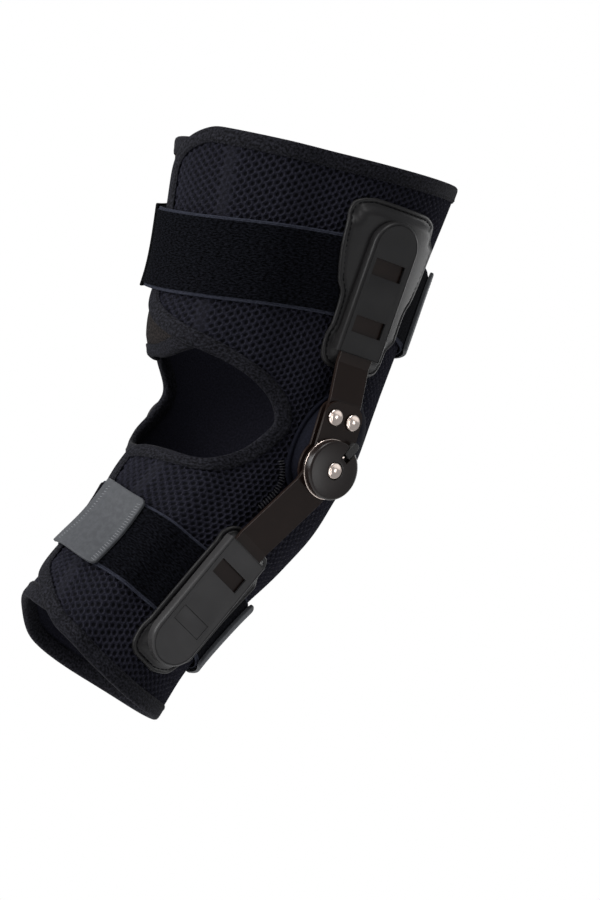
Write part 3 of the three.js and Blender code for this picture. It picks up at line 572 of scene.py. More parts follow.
# The closure: a panel of brown-black brushed loop fabric, sewn to the wrap behind the thigh. The flap
# fastens onto it, and its lower end shows below the flap. It has a tape of its own.

OUTER_SEAM = 132.0
UNDERLAP_END = 209.0
CLOSURE_LOW = 0.18 * THIGH
CLOSURE_HIGH = 0.93 * THIGH
CLOSURE_SLANT = 0.115 * THIGH


def closed_grid(name, along, angle, low, high, tone=None, places=None):
    """A closed shell between two heights over a grid of places on the leg."""
    rows, columns = along.shape
    top = leg(along, angle, high).reshape(-1, 3)
    bottom = leg(along, angle, low).reshape(-1, 3)
    count = rows * columns
    grid = np.arange(count).reshape(rows, columns)
    a, b, c, d = grid[:-1, :-1], grid[:-1, 1:], grid[1:, 1:], grid[1:, :-1]
    upper = np.stack([a, b, c, d], -1).reshape(-1, 4)
    lower = upper[:, ::-1] + count
    ring = np.concatenate([grid[0], grid[1:, -1], grid[-1, -2::-1], grid[-2:0:-1, 0]])
    after = np.roll(ring, -1)
    walls = np.stack([after, ring, ring + count, after + count], 1)
    if places is None:
        places = np.stack([arc_of(along, angle), along], -1).reshape(-1, 2)
    else:
        places = places.reshape(-1, 2)
    shade = np.ones(count) if tone is None else np.broadcast_to(tone, along.shape).ravel()
    faces = np.vstack([upper, lower, walls]).tolist()
    vertices = np.vstack([top, bottom])
    return new_piece(name, vertices, faces, np.vstack([places, places]), np.concatenate([shade, shade]))


def closure_place(u, v):
    start = OUTER_SEAM + 2.0
    angle = start + (UNDERLAP_END - start) * u
    rise = CLOSURE_SLANT * smooth((angle - 172) / 40)
    return CLOSURE_LOW + rise + (CLOSURE_HIGH - CLOSURE_LOW - rise) * v, angle


loop_fabric = cloth_material("loop_fabric", (0.0025, 0.002, 0.002), (0.024, 0.0195, 0.0185), 0.8, swing=1.0, bump=1.0)
v_grid, u_grid = np.meshgrid(np.linspace(0, 1, 60), np.linspace(0, 1, 50), indexing="ij")
along_grid, angle_grid = closure_place(u_grid, v_grid)
wave = folds(along_grid, angle_grid)
closure = closed_grid("thigh_closure_panel", along_grid, angle_grid, wave, wave + SHEET)
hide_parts("thigh_closure")
tidy_piece(closure, loop_fabric, 40)
u_side = np.linspace(0, 1, 60)
closure_u = np.concatenate([u_side, np.ones(60), u_side[::-1], np.zeros(60)])
closure_v = np.concatenate([np.zeros(60), u_side, np.ones(60), u_side[::-1]])
closure_along, closure_angle = closure_place(closure_u, closure_v)
closure_loop = even_loop(np.stack([arc_of(closure_along, closure_angle), closure_along], 1), 2.0, 3)
closure_tape = edge_tape("closure_edge_tape", closure_loop, BINDING, lambda angle: 0 * angle)
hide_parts("closure_binding")
tidy_piece(closure_tape, knit_tape, 50)


# The straps: black pile webbing with a narrow woven edge on each side. The thigh's are 45 mm wide and the
# shin's 44 mm. Each runs from the pocket on one side to the pocket on the other, behind or in front.

STRAP_BASE = 4.25
STRAP = 2.0
THIGH_STRAP = (0.62 * THIGH, 45.0)
SHIN_STRAP = (-0.63 * SHIN, 44.0)
STRAP_EDGE = [
    (0, 0.0), (0.05, 0.55), (0.25, 0.85), (0.6, 1.0), (1.1, 1.0), (1.3, 0.95), (1.55, 1.35), (1.95, 1.8),
    (2.7, 2.0),
]


def strap_lift(angle):
    return flap_lift(angle) * smooth((angle + 219) / 21)


def strap_centre(centre, angle):
    if centre > 0:
        return centre - 11.0 * np.cos(np.radians(angle)) ** 2
    return centre + 5.5 * smooth(1 - np.abs(angle + 206) / 52)


def strap_band(name, strap, start, end):
    """A band round the leg: its woven edges are thin and its pile stands between them."""
    centre, width = strap
    half = width / 2
    edge = [(-half + reach, height) for reach, height in STRAP_EDGE]
    middle = [(x, STRAP) for x in np.linspace(-half + 3.6, half - 3.6, 26)]
    profile = edge + middle + [(-x, height) for x, height in reversed(edge)]
    across = np.array([x for x, _ in profile])[:, None]
    height = np.array([h for _, h in profile])[:, None]
    angle = np.linspace(start, end, int(abs(end - start) * 1.2))[None, :]
    along = strap_centre(centre, angle) + across
    angle = np.broadcast_to(angle, along.shape)
    base = STRAP_BASE + strap_lift(angle) + folds(along, angle) * 0.4 + slack(along, angle) * 0.6
    pile = smooth((half - 1.35 - np.abs(across)) / 0.4)
    places = np.stack([arc_of(along, angle), np.broadcast_to(across, along.shape)], -1)
    return closed_grid(name, along, angle, base, base + height, 1 - pile, places)


# The light specks over the black pile are painted glints of its fibres.
pile_strap = cloth_material(
    "pile_strap",
    (0.0007, 0.0007, 0.0009),
    (0.027, 0.029, 0.04),
    0.55,
    stretch=(1, 2.3, 1),
    swing=0.35,
    painted_glint=0.22,
    bump=1.0,
    gloss=0.01,
)
for part, strap in (("thigh", THIGH_STRAP), ("shin", SHIN_STRAP)):
    for place, start, end in (("back", -276, -84), ("front", -83, 83)):
        band = strap_band(f"{part}_{place}_webbing", strap, start, end)
        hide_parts(f"{part}_{place}_strap")
        tidy_piece(band, pile_strap, 50)


# The tabs: the stiff ends of the straps, which fasten back on them. The shin's back tab is grey rubbery
# sheet with a zigzag seam along one end, and the thigh's is black. The front ones are grey.

TAB_BASE = 6.6
TAB = 1.8


def tab_plate(name, strap, start, end, corners, slant, thick=TAB):
    """A plate that lies on a strap. Its start may slant, and its corners at each end have a radius."""
    centre, width = strap
    half = width / 2 + 1
    first, last = float(arc_of(centre, start)), float(arc_of(centre, end))
    reach = (last - first) / 2
    rim = np.array([0, 0.15, 0.4, 0.8, 1.3, 2.0, 3.0, 4.5])
    u = np.concatenate([-reach + rim, np.linspace(-reach + 6, reach - 6, 24), (reach - rim)[::-1]])
    corner = np.where(u < 0, corners[0], corners[1])
    cut = corner - np.sqrt(np.maximum(corner**2 - np.maximum(np.abs(u) - reach + corner, 0) ** 2, 0))
    v = np.concatenate([-1 + rim / half, np.linspace(-1 + 6 / half, 1 - 6 / half, 20), (1 - rim / half)[::-1]])
    across = v[:, None] * (half - cut)[None, :]
    arc = first + reach + u[None, :] + slant * v[:, None] * (reach - u[None, :]) / (2 * reach)
    angle = angle_of(np.full(across.shape, centre), arc)
    along = strap_centre(centre, angle) + across
    edge = np.minimum((half - cut)[None, :] - np.abs(across), reach - np.abs(u)[None, :])
    rounding = np.sqrt(np.clip(1 - (1 - np.clip(edge / 0.6, 0, 1)) ** 2, 0, 1))
    base = TAB_BASE + strap_lift(angle) + folds(along, angle) * 0.4 + slack(along, angle) * 0.6
    top = base + 0.7 + (thick - 0.7) * rounding
    places = np.stack([arc, across], -1)
    return closed_grid(name, along, angle, base, top, None, places)


grey_rubber = cloth_material("grey_rubber", (0.042, 0.044, 0.048), (0.062, 0.0645, 0.0695), 0.3, bump=0.12, roughness=0.5)
tab_black = cloth_material("tab_black", (0.0015, 0.0015, 0.002), (0.008, 0.008, 0.009), 0.9, bump=0.6)
thread_grey = cloth_material("thread_grey", (0.12, 0.125, 0.13), (0.16, 0.165, 0.175), 2.0, bump=0.2)
# name, strap, start, end, corner radii, slant, finish, slot
TABS = [
    ("thigh_back_tab", THIGH_STRAP, -240, -204, (2, 2), 0, tab_black, "pile_strap"),
    ("thigh_front_tab", THIGH_STRAP, -46, -6, (4, 4), 0, grey_rubber, "grey_tab"),
    ("shin_back_tab", SHIN_STRAP, -196.5, -153, (0.8, 3.5), 5, grey_rubber, "grey_tab"),
    ("shin_front_tab", SHIN_STRAP, -46, -6, (4, 4), 0, grey_rubber, "grey_tab"),
]


def tab_top(along, angle):
    return TAB_BASE + TAB + strap_lift(angle) + folds(along, angle) * 0.4


for name, strap, start, end, corners, slant, material, slot in TABS:
    plate = tab_plate(f"{name}_plate", strap, start, end, corners, slant, 1.1 if material is tab_black else TAB)
    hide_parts(name)
    tidy_piece(plate, material, 50)
    if material is tab_black:
        continue
    reach = strap[1] / 2 - 1.5
    across = np.linspace(-reach, reach, 40)
    for seam, at, lean in (("end_seam", arc_of(strap[0], end) - 2.3, 0), ("fold_seam", arc_of(strap[0], start) + 6.5, slant)):
        seam_angle = angle_of(np.full(40, float(strap[0])), at + lean * across / reach * 0.8)
        seam_along = strap_centre(strap[0], seam_angle) + across
        line = np.stack([arc_of(seam_along, seam_angle), seam_along], 1)
        seam_piece = thread(f"{name}_{seam}", stitches_across(line, 2.6, 1.7, 0.25), tab_top, 0.22)
        tidy_piece(seam_piece, thread_grey, 60)


# The condyle pads: round cushions of dark navy knit over foam, with a flat sewn rim, between the wrap and
# the hinge on each side. The hinge presses the top of each cushion flat.

HINGE_SEAT = 71.5
PAD_HALF_HEIGHT = 31.5
PAD_HALF_WIDTH = 23.0
PAD_ANGLE = -79.5
PAD_CENTRE = 0.084 * THIGH
# share of the half width, height above the leg
PAD_PROFILE = [
    (0.0, 3.15), (0.5, 3.15), (0.985, 3.15), (1.0, 3.5), (1.0, 4.6), (0.985, 5.1), (0.96, 5.35), (0.93, 5.3),
    (0.905, 4.9), (0.885, 5.5), (0.85, 7.4), (0.8, 9.8), (0.74, 12.0), (0.66, 14.0), (0.5, 15.6), (0.25, 16.3),
    (0.0, 16.5),
]


def mirrored(piece, name, nodes):
    """The same piece on the outer side of the leg."""
    copy = piece.copy()
    copy.data = piece.data.copy()
    copy.name = name
    copy.data.name = name
    bpy.context.scene.collection.objects.link(copy)
    copy.data.transform(Matrix.Scale(-1, 4, Vector((0, 1, 0))))
    copy.data.flip_normals()
    for key in list(copy.keys()):
        del copy[key]
    copy.parent = None
    copy.matrix_world = Matrix.Identity(4)
    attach(copy, "root")
    if nodes:
        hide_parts(*nodes)
    return copy


def pad_piece(name):
    segments = 96
    centre_arc = float(arc_of(PAD_CENTRE, PAD_ANGLE))
    vertices, places = [], []
    for radius, height in PAD_PROFILE[1:-1]:
        turn = np.linspace(0, 2 * math.pi, segments, endpoint=False)
        along = PAD_CENTRE + radius * PAD_HALF_HEIGHT * np.cos(turn)
        arc = centre_arc + radius * PAD_HALF_WIDTH * np.sin(turn)
        vertices.append(leg(along, angle_of(along, arc), height))
        places.append(np.stack([arc, along], 1))
    for radius, height in (PAD_PROFILE[0], PAD_PROFILE[-1]):
        vertices.append(leg(np.array([PAD_CENTRE]), angle_of(np.array([PAD_CENTRE]), centre_arc), height))
        places.append(np.array([[centre_arc, PAD_CENTRE]]))
    points = np.vstack(vertices)
    points[:, 1] = np.maximum(points[:, 1], -(HINGE_SEAT - 0.05) * MM)
    rings = len(PAD_PROFILE) - 2
    faces = []
    for k in range(rings - 1):
        for i in range(segments):
            j = (i + 1) % segments
            faces.append((k * segments + i, k * segments + j, (k + 1) * segments + j, (k + 1) * segments + i))
    for i in range(segments):
        j = (i + 1) % segments
        faces.append((rings * segments, j, i))
        last = (rings - 1) * segments
        faces.append((rings * segments + 1, last + i, last + j))
    return new_piece(name, points, faces, np.vstack(places))


navy_fabric = cloth_material("navy_fabric", (0.002, 0.0022, 0.004), (0.006, 0.0066, 0.0125), 1.2, bump=0.3)
pad = pad_piece("inner_pad")
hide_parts("inner_condyle_pad")
tidy_piece(pad, navy_fabric, 40)
outer_pad = mirrored(pad, "outer_pad", ["outer_condyle_pad"])


# The pockets: moulded black-grey vinyl sheaths, one for each bar. A soft skirt with a stitched groove is
# sewn on the wrap, and a raised channel with round shoulders and two windows takes the bar.

FLANGE = 1.8
FLANGE_TOP = 10.2 - FLANGE
CHANNEL_MOUTH = 64.0
CHANNEL_LENGTH = 73.0
MOUTH_LEAD = 6.0
BAR = 2.5
BAR_WIDTH = 22.0
BAR_REACH = 132.0
LOWER_BAR_SHORTER = 2.7
CHANNEL_FLANK = 4.0
CHANNEL_ROOF = 1.5
WINDOW_WIDTH = 9.5
WINDOW_PLACES = (0.23, 0.68)
UPPER_LEAN = math.radians(2)
LOWER_LEAN = math.radians(1.3)
# place, back, front
UPPER_POCKET = [
    (0.32, -96, -73), (0.335, -100, -69), (0.375, -102.3, -66.5), (0.56, -102.3, -66.5), (0.6, -105, -64),
    (0.72, -107.7, -62), (0.85, -107.2, -62), (0.875, -104, -65), (0.89, -98, -71),
]
LOWER_POCKET = [
    (-0.945, -97, -82), (-0.93, -101.5, -76), (-0.9, -104.5, -68), (-0.83, -106, -63), (-0.4, -105.5, -63),
    (-0.36, -102, -65.5), (-0.342, -98, -69),
]


def hinge_turn(up):
    return Matrix.Rotation(UPPER_LEAN if up else FLEXION - LOWER_LEAN, 4, "Y")


def rest_out(along):
    return KNEE_WIDTH * float(read(LEG_FORM, 3, share_of(np.array(along)))) + FLANGE_TOP + CLEARANCE


def channel_frame(up):
    """From the mouth of a channel, along the bar, to the leg, in metres."""
    sign = 1 if up else -1
    shorter = 0 if up else LOWER_BAR_SHORTER
    start = rest_out(sign * (CHANNEL_MOUTH - shorter - MOUTH_LEAD))
    end = rest_out(sign * (BAR_REACH - shorter))
    slope = math.atan2(end - start, BAR_REACH - CHANNEL_MOUTH + MOUTH_LEAD)
    mouth_out = start + MOUTH_LEAD * math.tan(slope)
    place = Matrix.Translation(Vector((0, -mouth_out * MM, sign * (CHANNEL_MOUTH - shorter) * MM)))
    flip = Matrix.Diagonal((1, 1, sign, 1))
    return hinge_turn(up) @ place @ Matrix.Rotation(sign * slope, 4, "X") @ flip


def begin(operator, **values):
    """Adds a primitive with nothing else selected, and returns it with its place in its mesh."""
    bpy.ops.object.select_all(action="DESELECT")
    operator(**values)
    bpy.ops.object.transform_apply(location=True, rotation=True, scale=True)
    return bpy.context.object


def block(name, size, centre):
    """A box, in millimetres."""
    piece = begin(bpy.ops.mesh.primitive_cube_add, size=1)
    piece.name = name
    piece.data.transform(Matrix.Diagonal((*[s * MM for s in size], 1)))
    piece.data.transform(Matrix.Translation(Vector(centre) * MM))
    return piece


def select_edges(piece, wanted):
    """Opens a piece in edit mode with only the edges that pass a test on their two ends selected."""
    bpy.ops.object.select_all(action="DESELECT")
    piece.select_set(True)
    bpy.context.view_layer.objects.active = piece
    bpy.ops.object.mode_set(mode="EDIT")
    bpy.ops.mesh.select_mode(type="EDGE")
    bpy.ops.mesh.select_all(action="DESELECT")
    shape = bmesh.from_edit_mesh(piece.data)
    for edge in shape.edges:
        edge.select = wanted(edge.verts[0].co / MM, edge.verts[1].co / MM)
    shape.select_flush_mode()
    bmesh.update_edit_mesh(piece.data)


def bevel_edges(piece, wanted, width, segments):
    select_edges(piece, wanted)
    bpy.ops.mesh.bevel(offset=width * MM, segments=segments, affect="EDGES", clamp_overlap=True)
    bpy.ops.object.mode_set(mode="OBJECT")


def cut(piece, tool, operation="DIFFERENCE"):
    """Cuts a tool out of a piece, or joins it to it, and deletes the tool."""
    modifier = piece.modifiers.new("cut", "BOOLEAN")
    modifier.operation = operation
    modifier.object = tool
    modifier.solver = "EXACT"
    bpy.ops.object.select_all(action="DESELECT")
    piece.select_set(True)
    bpy.context.view_layer.objects.active = piece
    bpy.ops.object.modifier_apply(modifier=modifier.name)
    bpy.data.objects.remove(tool)


def soften(piece, width, segments=2, angle=35):
    """Rounds the sharp edges of a piece a little."""
    modifier = piece.modifiers.new("soften", "BEVEL")
    modifier.width = width * MM
    modifier.segments = segments
    modifier.limit_method = "ANGLE"
    modifier.angle_limit = math.radians(angle)
    bpy.ops.object.select_all(action="DESELECT")
    piece.select_set(True)
    bpy.context.view_layer.objects.active = piece
    bpy.ops.object.modifier_apply(modifier=modifier.name)


def pocket_skirt(name, table, up):
    """The stitched skirt of a pocket, raised where the strap passes under it."""
    length = THIGH if up else SHIN
    first, last = table[0][0] * length, table[-1][0] * length
    centre, width = THIGH_STRAP if up else SHIN_STRAP
    low, high = centre - width / 2 - 4, centre + width / 2 + 4
    side = np.linspace(first, last, 300)
    back = arc_of(side, read(table, 1, side / length))
    front = arc_of(side, read(table, 2, side / length) + 2.5)
    corners = np.vstack([np.stack([front, side], 1), np.stack([back, side], 1)[::-1]])
    loop = even_loop(corners, 1.0, 3)
    rim = np.array([0, 0.12, 0.35, 0.7, 1.2, 1.7, 2.1, 2.45, 2.8, 3.2, 3.7, 4.4, 5.4])
    span = last - first
    rows = np.concatenate([first + rim, np.arange(first + 7, last - 7, 1.6), (last - rim)[::-1]])
    shift = np.concatenate([rim, np.linspace(7.0, 16, 7)]) / 34
    columns = np.concatenate([shift, [0.5], (1 - shift)[::-1]])
    along = np.broadcast_to(rows[:, None], (len(rows), len(columns))).copy()
    back_row = read(table, 1, rows / length)[:, None]
    front_row = read(table, 2, rows / length)[:, None] + 2.5
    angle = back_row + (front_row - back_row) * columns[None, :]
    places = np.stack([arc_of(along, angle), along], -1)
    edge = np.maximum(inside_distance(places.reshape(-1, 2), loop), 0).reshape(along.shape)
    beyond = np.maximum(low - along, along - high)
    under = SHEET + CLEARANCE + (TAB_BASE - SHEET - CLEARANCE) * smooth(1 - beyond / 8)
    rounding = np.sqrt(np.clip(1 - (1 - np.clip(edge / 0.9, 0, 1)) ** 2, 0, 1))
    groove = 0.75 * np.exp(-(((edge - 2.5) / 0.42) ** 2))
    skirt = under + 0.35 + (FLANGE - 0.35) * rounding - groove
    rise = smooth((edge - 3.6) / 5.0)
    top = skirt + (np.maximum(FLANGE_TOP, skirt) - skirt) * rise
    # The tone passed here, darker in the stitched groove, is painted shade in the crease; the vinyl finish does not
    # read it.
    piece = closed_grid(name, along, angle, under, top, 1 - groove, places)
    line = loop + inward_of(loop) * 2.5

    def groove_height(at, turn):
        past = np.maximum(low - at, at - high)
        base = SHEET + CLEARANCE + (TAB_BASE - SHEET - CLEARANCE) * smooth(1 - past / 8)
        return base + FLANGE - 0.5

    return piece, line, groove_height


def select_roof(piece, low):
    """Opens a piece in edit mode with only its flat outer faces selected."""
    bpy.ops.object.select_all(action="DESELECT")
    piece.select_set(True)
    bpy.context.view_layer.objects.active = piece
    bpy.ops.object.mode_set(mode="EDIT")
    bpy.ops.mesh.select_mode(type="FACE")
    bpy.ops.mesh.select_all(action="DESELECT")
    shape = bmesh.from_edit_mesh(piece.data)
    for face in shape.faces:
        face.select = face.normal.y < -0.99 and face.calc_center_median().y < low * MM
    bmesh.update_edit_mesh(piece.data)


def channel_piece(name, up):
    """The raised channel: a long block with a round end and shoulders, a grooved roof, a slot and windows."""
    half = BAR_WIDTH / 2 + CLEARANCE + CHANNEL_FLANK
    top = BAR + CLEARANCE + CHANNEL_ROOF
    depth = top + 1.6
    length = CHANNEL_LENGTH + CHANNEL_FLANK
    piece = block(name, (2 * half, depth, length), (0, -top + depth / 2, length / 2))
    far = length - 0.1
    bevel_edges(piece, lambda a, b: a.z > far and b.z > far and abs(a.x - b.x) < 0.1, half - 0.05, 14)
    bevel_edges(
        piece,
        lambda a, b: a.y < -top + 0.1 and b.y < -top + 0.1 and not (a.z < 0.1 and b.z < 0.1),
        CHANNEL_FLANK,
        6,
    )
    select_roof(piece, -top + 0.1)
    bpy.ops.mesh.inset(thickness=0.3 * MM, depth=-0.35 * MM)
    bpy.ops.mesh.inset(thickness=0.3 * MM, depth=0.3 * MM)
    bpy.ops.object.mode_set(mode="OBJECT")
    reach = BAR_REACH - CHANNEL_MOUTH + 4
    inner = 2 * (half - CHANNEL_FLANK)
    cut(piece, block("slot", (inner, BAR + 2 * CLEARANCE, 2 * reach), (0, -BAR / 2, 0)))
    for share in WINDOW_PLACES:
        window = (BAR_WIDTH - 1.3, 3.2, WINDOW_WIDTH)
        cut(piece, block("window", window, (-0.6, -top, share * CHANNEL_LENGTH)))
    soften(piece, 0.2, 2, 40)
    piece.data.transform(channel_frame(up))
    if not up:
        piece.data.flip_normals()
    return piece


def window_panel(name):
    """The panel that closes the lower channel's far window from inside, almost flush with the roof."""
    thick = 1.1
    out = -BAR - CLEARANCE - CHANNEL_ROOF + 0.15 + thick / 2
    panel = block(name, (BAR_WIDTH - 1.7, thick, WINDOW_WIDTH - 0.4), (-0.6, out, WINDOW_PLACES[1] * CHANNEL_LENGTH))
    soften(panel, 0.15, 2, 40)
    panel.data.transform(channel_frame(False))
    panel.data.flip_normals()
    return panel


def smooth_material(name, colour, roughness, grain, metallic=0.0, specular=0.3, bump=0.1, spread=0.3, coat=0.0):
    """A moulded, coated or metal finish: one colour with a faint change of shade and a fine grain."""
    material = bpy.data.materials.new(name)
    material.use_nodes = True
    nodes, links = material.node_tree.nodes, material.node_tree.links
    shader = nodes["Principled BSDF"]
    shader.inputs["Roughness"].default_value = roughness
    shader.inputs["Metallic"].default_value = metallic
    shader.inputs["Specular IOR Level"].default_value = specular
    shader.inputs["Coat Weight"].default_value = coat
    shader.inputs["Coat Roughness"].default_value = 0.1
    place = nodes.new("ShaderNodeTexCoord")
    size = nodes.new("ShaderNodeVectorMath")
    size.operation = "SCALE"
    size.inputs["Scale"].default_value = 1000
    fibres = nodes.new("ShaderNodeGroup")
    fibres.node_tree = FIBRES
    fibres.inputs["Grain"].default_value = grain
    fibres.inputs["Stretch"].default_value = (1, 1, 1)
    mix = nodes.new("ShaderNodeMix")
    mix.data_type = "RGBA"
    mix.inputs["A"].default_value = (*[c * (1 - spread) for c in colour], 1)
    mix.inputs["B"].default_value = (*[c * (1 + spread) for c in colour], 1)
    relief = nodes.new("ShaderNodeBump")
    relief.inputs["Strength"].default_value = bump
    relief.inputs["Distance"].default_value = 0.0002
    links.new(place.outputs["Object"], size.inputs[0])
    links.new(size.outputs["Vector"], fibres.inputs["Place"])
    links.new(fibres.outputs["Shade"], mix.inputs["Factor"])
    links.new(mix.outputs["Result"], shader.inputs["Base Color"])
    links.new(fibres.outputs["Height"], relief.inputs["Height"])
    links.new(relief.outputs["Normal"], shader.inputs["Normal"])
    return material


upper_vinyl = smooth_material("pocket_vinyl", (0.011, 0.0105, 0.0108), 0.42, 1.6, specular=0.22, bump=0.25)
# A lighter copy of the same vinyl for the lower channel and its window panel: painted light, as that channel faces
# more upward.
painted_light_vinyl = smooth_material("lower_pocket_vinyl_painted_light", (0.031, 0.03, 0.0305), 0.42, 1.6, specular=0.25, bump=0.25)
for up, table, place, pocket_vinyl in (
    (True, UPPER_POCKET, "upper", upper_vinyl),
    (False, LOWER_POCKET, "lower", painted_light_vinyl),
):
    skirt, groove_line, groove_height = pocket_skirt(f"inner_{place}_pocket_skirt", table, up)
    channel = channel_piece(f"inner_{place}_pocket_channel", up)
    seam = thread(f"inner_{place}_pocket_stitches", stitches_along(groove_line, 2.0, 1.2), groove_height, 0.3)
    parts = [(skirt, upper_vinyl, 50), (channel, pocket_vinyl, 30), (seam, thread_black, 60)]
    if not up:
        parts.append((window_panel("inner_lower_pocket_panel"), pocket_vinyl, 30))
    for piece, material, angle in parts:
        solid = piece is skirt or piece is channel
        if solid:
            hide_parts(f"inner_{place}_pocket")
        tidy_piece(piece, material, angle)
        copy = mirrored(piece, piece.name.replace("inner", "outer"), [f"outer_{place}_pocket"] if solid else [])


# The hinges: on each side two brown plates hold the bars between them, a glossy disc covers the pivot,
# and hollow nickel rivets go through. A grey stop in the disc's notch sets how far the knee may move.

PLATE = 1.5
PLATE_RADIUS = 16.5
TONGUE_HALF_WIDTH = 13.0
TONGUE_TOP = 37.0
BACK_PLATE_OUT = 71.85
FRONT_PLATE_OUT = 76.55
DISC_OUT = 78.4
DISC = 4.0
DISC_THICK = 5.1
STOP_TURN = math.radians(31)
RIVET_HEAD = 4.6
PLATE_RIVET_UP = 28.0
PLATE_RIVET_ACROSS = 6.2


def round_plate(name, radius, thickness, out, vertices=96):
    """A disc on the hinge axis whose inner face is a distance out from the middle of the knee."""
    piece = begin(
        bpy.ops.mesh.primitive_cylinder_add,
        vertices=vertices,
        radius=radius * MM,
        depth=thickness * MM,
        location=(0, -(out + thickness / 2) * MM, 0),
        rotation=(math.radians(90), 0, 0),
    )
    piece.name = name
    return piece


def hinge_plate(name, out):
    piece = round_plate(name, PLATE_RADIUS, PLATE, out)
    height = TONGUE_TOP - 6
    tongue = block("tongue", (2 * TONGUE_HALF_WIDTH, PLATE, height), (0, -out - PLATE / 2, 6 + height / 2))
    bevel_edges(tongue, lambda a, b: a.z > TONGUE_TOP - 0.1 and b.z > TONGUE_TOP - 0.1 and abs(a.x - b.x) < 0.1, 8, 8)
    cut(piece, tongue, "UNION")
    soften(piece, 0.3, 3, 40)
    piece.data.transform(hinge_turn(True))
    return piece


def hinge_disc(name):
    """The glossy cover: a low dome with a round rim, a slot towards its edge and a seat for the rivet."""
    piece = round_plate(name, PLATE_RADIUS, DISC_THICK, DISC_OUT, 128)
    face = -(DISC_OUT + DISC_THICK) + 0.05
    bevel_edges(piece, lambda a, b: a.y < face and b.y < face, 1.6, 5)
    select_roof(piece, face)
    bpy.ops.mesh.inset(thickness=3 * MM, depth=0.34 * MM)
    bpy.ops.mesh.inset(thickness=3 * MM, depth=0.2 * MM)
    bpy.ops.mesh.inset(thickness=3 * MM, depth=0.1 * MM)
    bpy.ops.object.mode_set(mode="OBJECT")
    slot = block("slot", (5.6, 5, 11), (0, -DISC_OUT - DISC_THICK, 13.4))
    slot.data.transform(Matrix.Rotation(STOP_TURN, 4, "Y"))
    cut(piece, slot)
    cut(piece, round_plate("seat", RIVET_HEAD + 0.35, 3, DISC_OUT + DISC_THICK - 0.9, 64))
    soften(piece, 0.25, 3, 40)
    piece.data.transform(hinge_turn(True))
    return piece


def disc_ring(name):
    """The bright edge of the washer under the disc."""
    piece = round_plate(name, PLATE_RADIUS + 0.35, 0.4, DISC_OUT - 0.05, 128)
    soften(piece, 0.2, 3, 30)
    piece.data.transform(hinge_turn(True))
    return piece


def range_stop(name):
    """The grey stop in the slot: a short bar whose round end stands out past the disc."""
    piece = block(name, (4.7, 3.4, 9.6), (0, -DISC_OUT - DISC_THICK + 1.3, 15.6))
    bevel_edges(piece, lambda a, b: abs(a.y - b.y) > 1 and a.z > 15 and b.z > 15, 2.2, 6)
    soften(piece, 0.6, 3, 40)
    piece.data.transform(Matrix.Rotation(STOP_TURN, 4, "Y"))
    piece.data.transform(hinge_turn(True))
    return piece


def stop_pin(name):
    """The small bright pin at the inner end of the slot."""
    piece = round_plate(name, 0.75, 0.8, DISC_OUT + DISC_THICK - 0.35, 24)
    soften(piece, 0.25, 2, 40)
    piece.data.transform(Matrix.Translation(Vector((3.0, 0, 8.4)) * MM))
    piece.data.transform(hinge_turn(True))
    return piece


# radius, distance out
RIVET_PROFILE = [
    (0, 0), (4.35, 0), (4.55, 0.15), (4.6, 0.5), (4.58, 0.85), (4.46, 1.15), (4.24, 1.36), (3.98, 1.42),
    (3.72, 1.34), (3.42, 1.12), (3.0, 0.83), (2.5, 0.56), (1.9, 0.35), (1.25, 0.2), (0.6, 0.13), (0, 0.11),
]


def cup_rivet(name, out, across=0.0, up=0.0):
    """A hollow rivet: a rolled rim round a deep cup, turned from its profile."""
    mesh = bpy.data.meshes.new(name)
    links = [(k, k + 1) for k in range(len(RIVET_PROFILE) - 1)]
    mesh.from_pydata([(radius * MM, 0, rise * MM) for radius, rise in RIVET_PROFILE], links, [])
    piece = bpy.data.objects.new(name, mesh)
    bpy.context.scene.collection.objects.link(piece)
    turned = piece.modifiers.new("turned", "SCREW")
    turned.steps = turned.render_steps = 64
    turned.use_merge_vertices = True
    turned.merge_threshold = 0.000001
    bpy.ops.object.select_all(action="DESELECT")
    piece.select_set(True)
    bpy.context.view_layer.objects.active = piece
    bpy.ops.object.modifier_apply(modifier=turned.name)
    piece.data.transform(Matrix.Rotation(math.radians(90), 4, "X"))
    piece.data.transform(Matrix.Translation(Vector((across, -out, up)) * MM))
    piece.data.transform(hinge_turn(True))
    return piece


brown_metal = smooth_material("brown_metal", (0.0115, 0.0062, 0.0046), 0.38, 0.9, specular=0.16, bump=0.05)
gloss_disc = smooth_material("gloss_disc", (0.0098, 0.0062, 0.0052), 0.3, 0.7, specular=0.35, bump=0.02)
grey_stop = smooth_material("grey_stop", (0.022, 0.0215, 0.0215), 0.5, 1.5)
# The nickel is tinted tan-pink: partly the warm colour of the metal itself, partly a painted reflection of skin.
nickel = smooth_material("nickel", (0.9, 0.77, 0.69), 0.2, 0.6, metallic=1.0, specular=0.5, bump=0.02, spread=0.06)

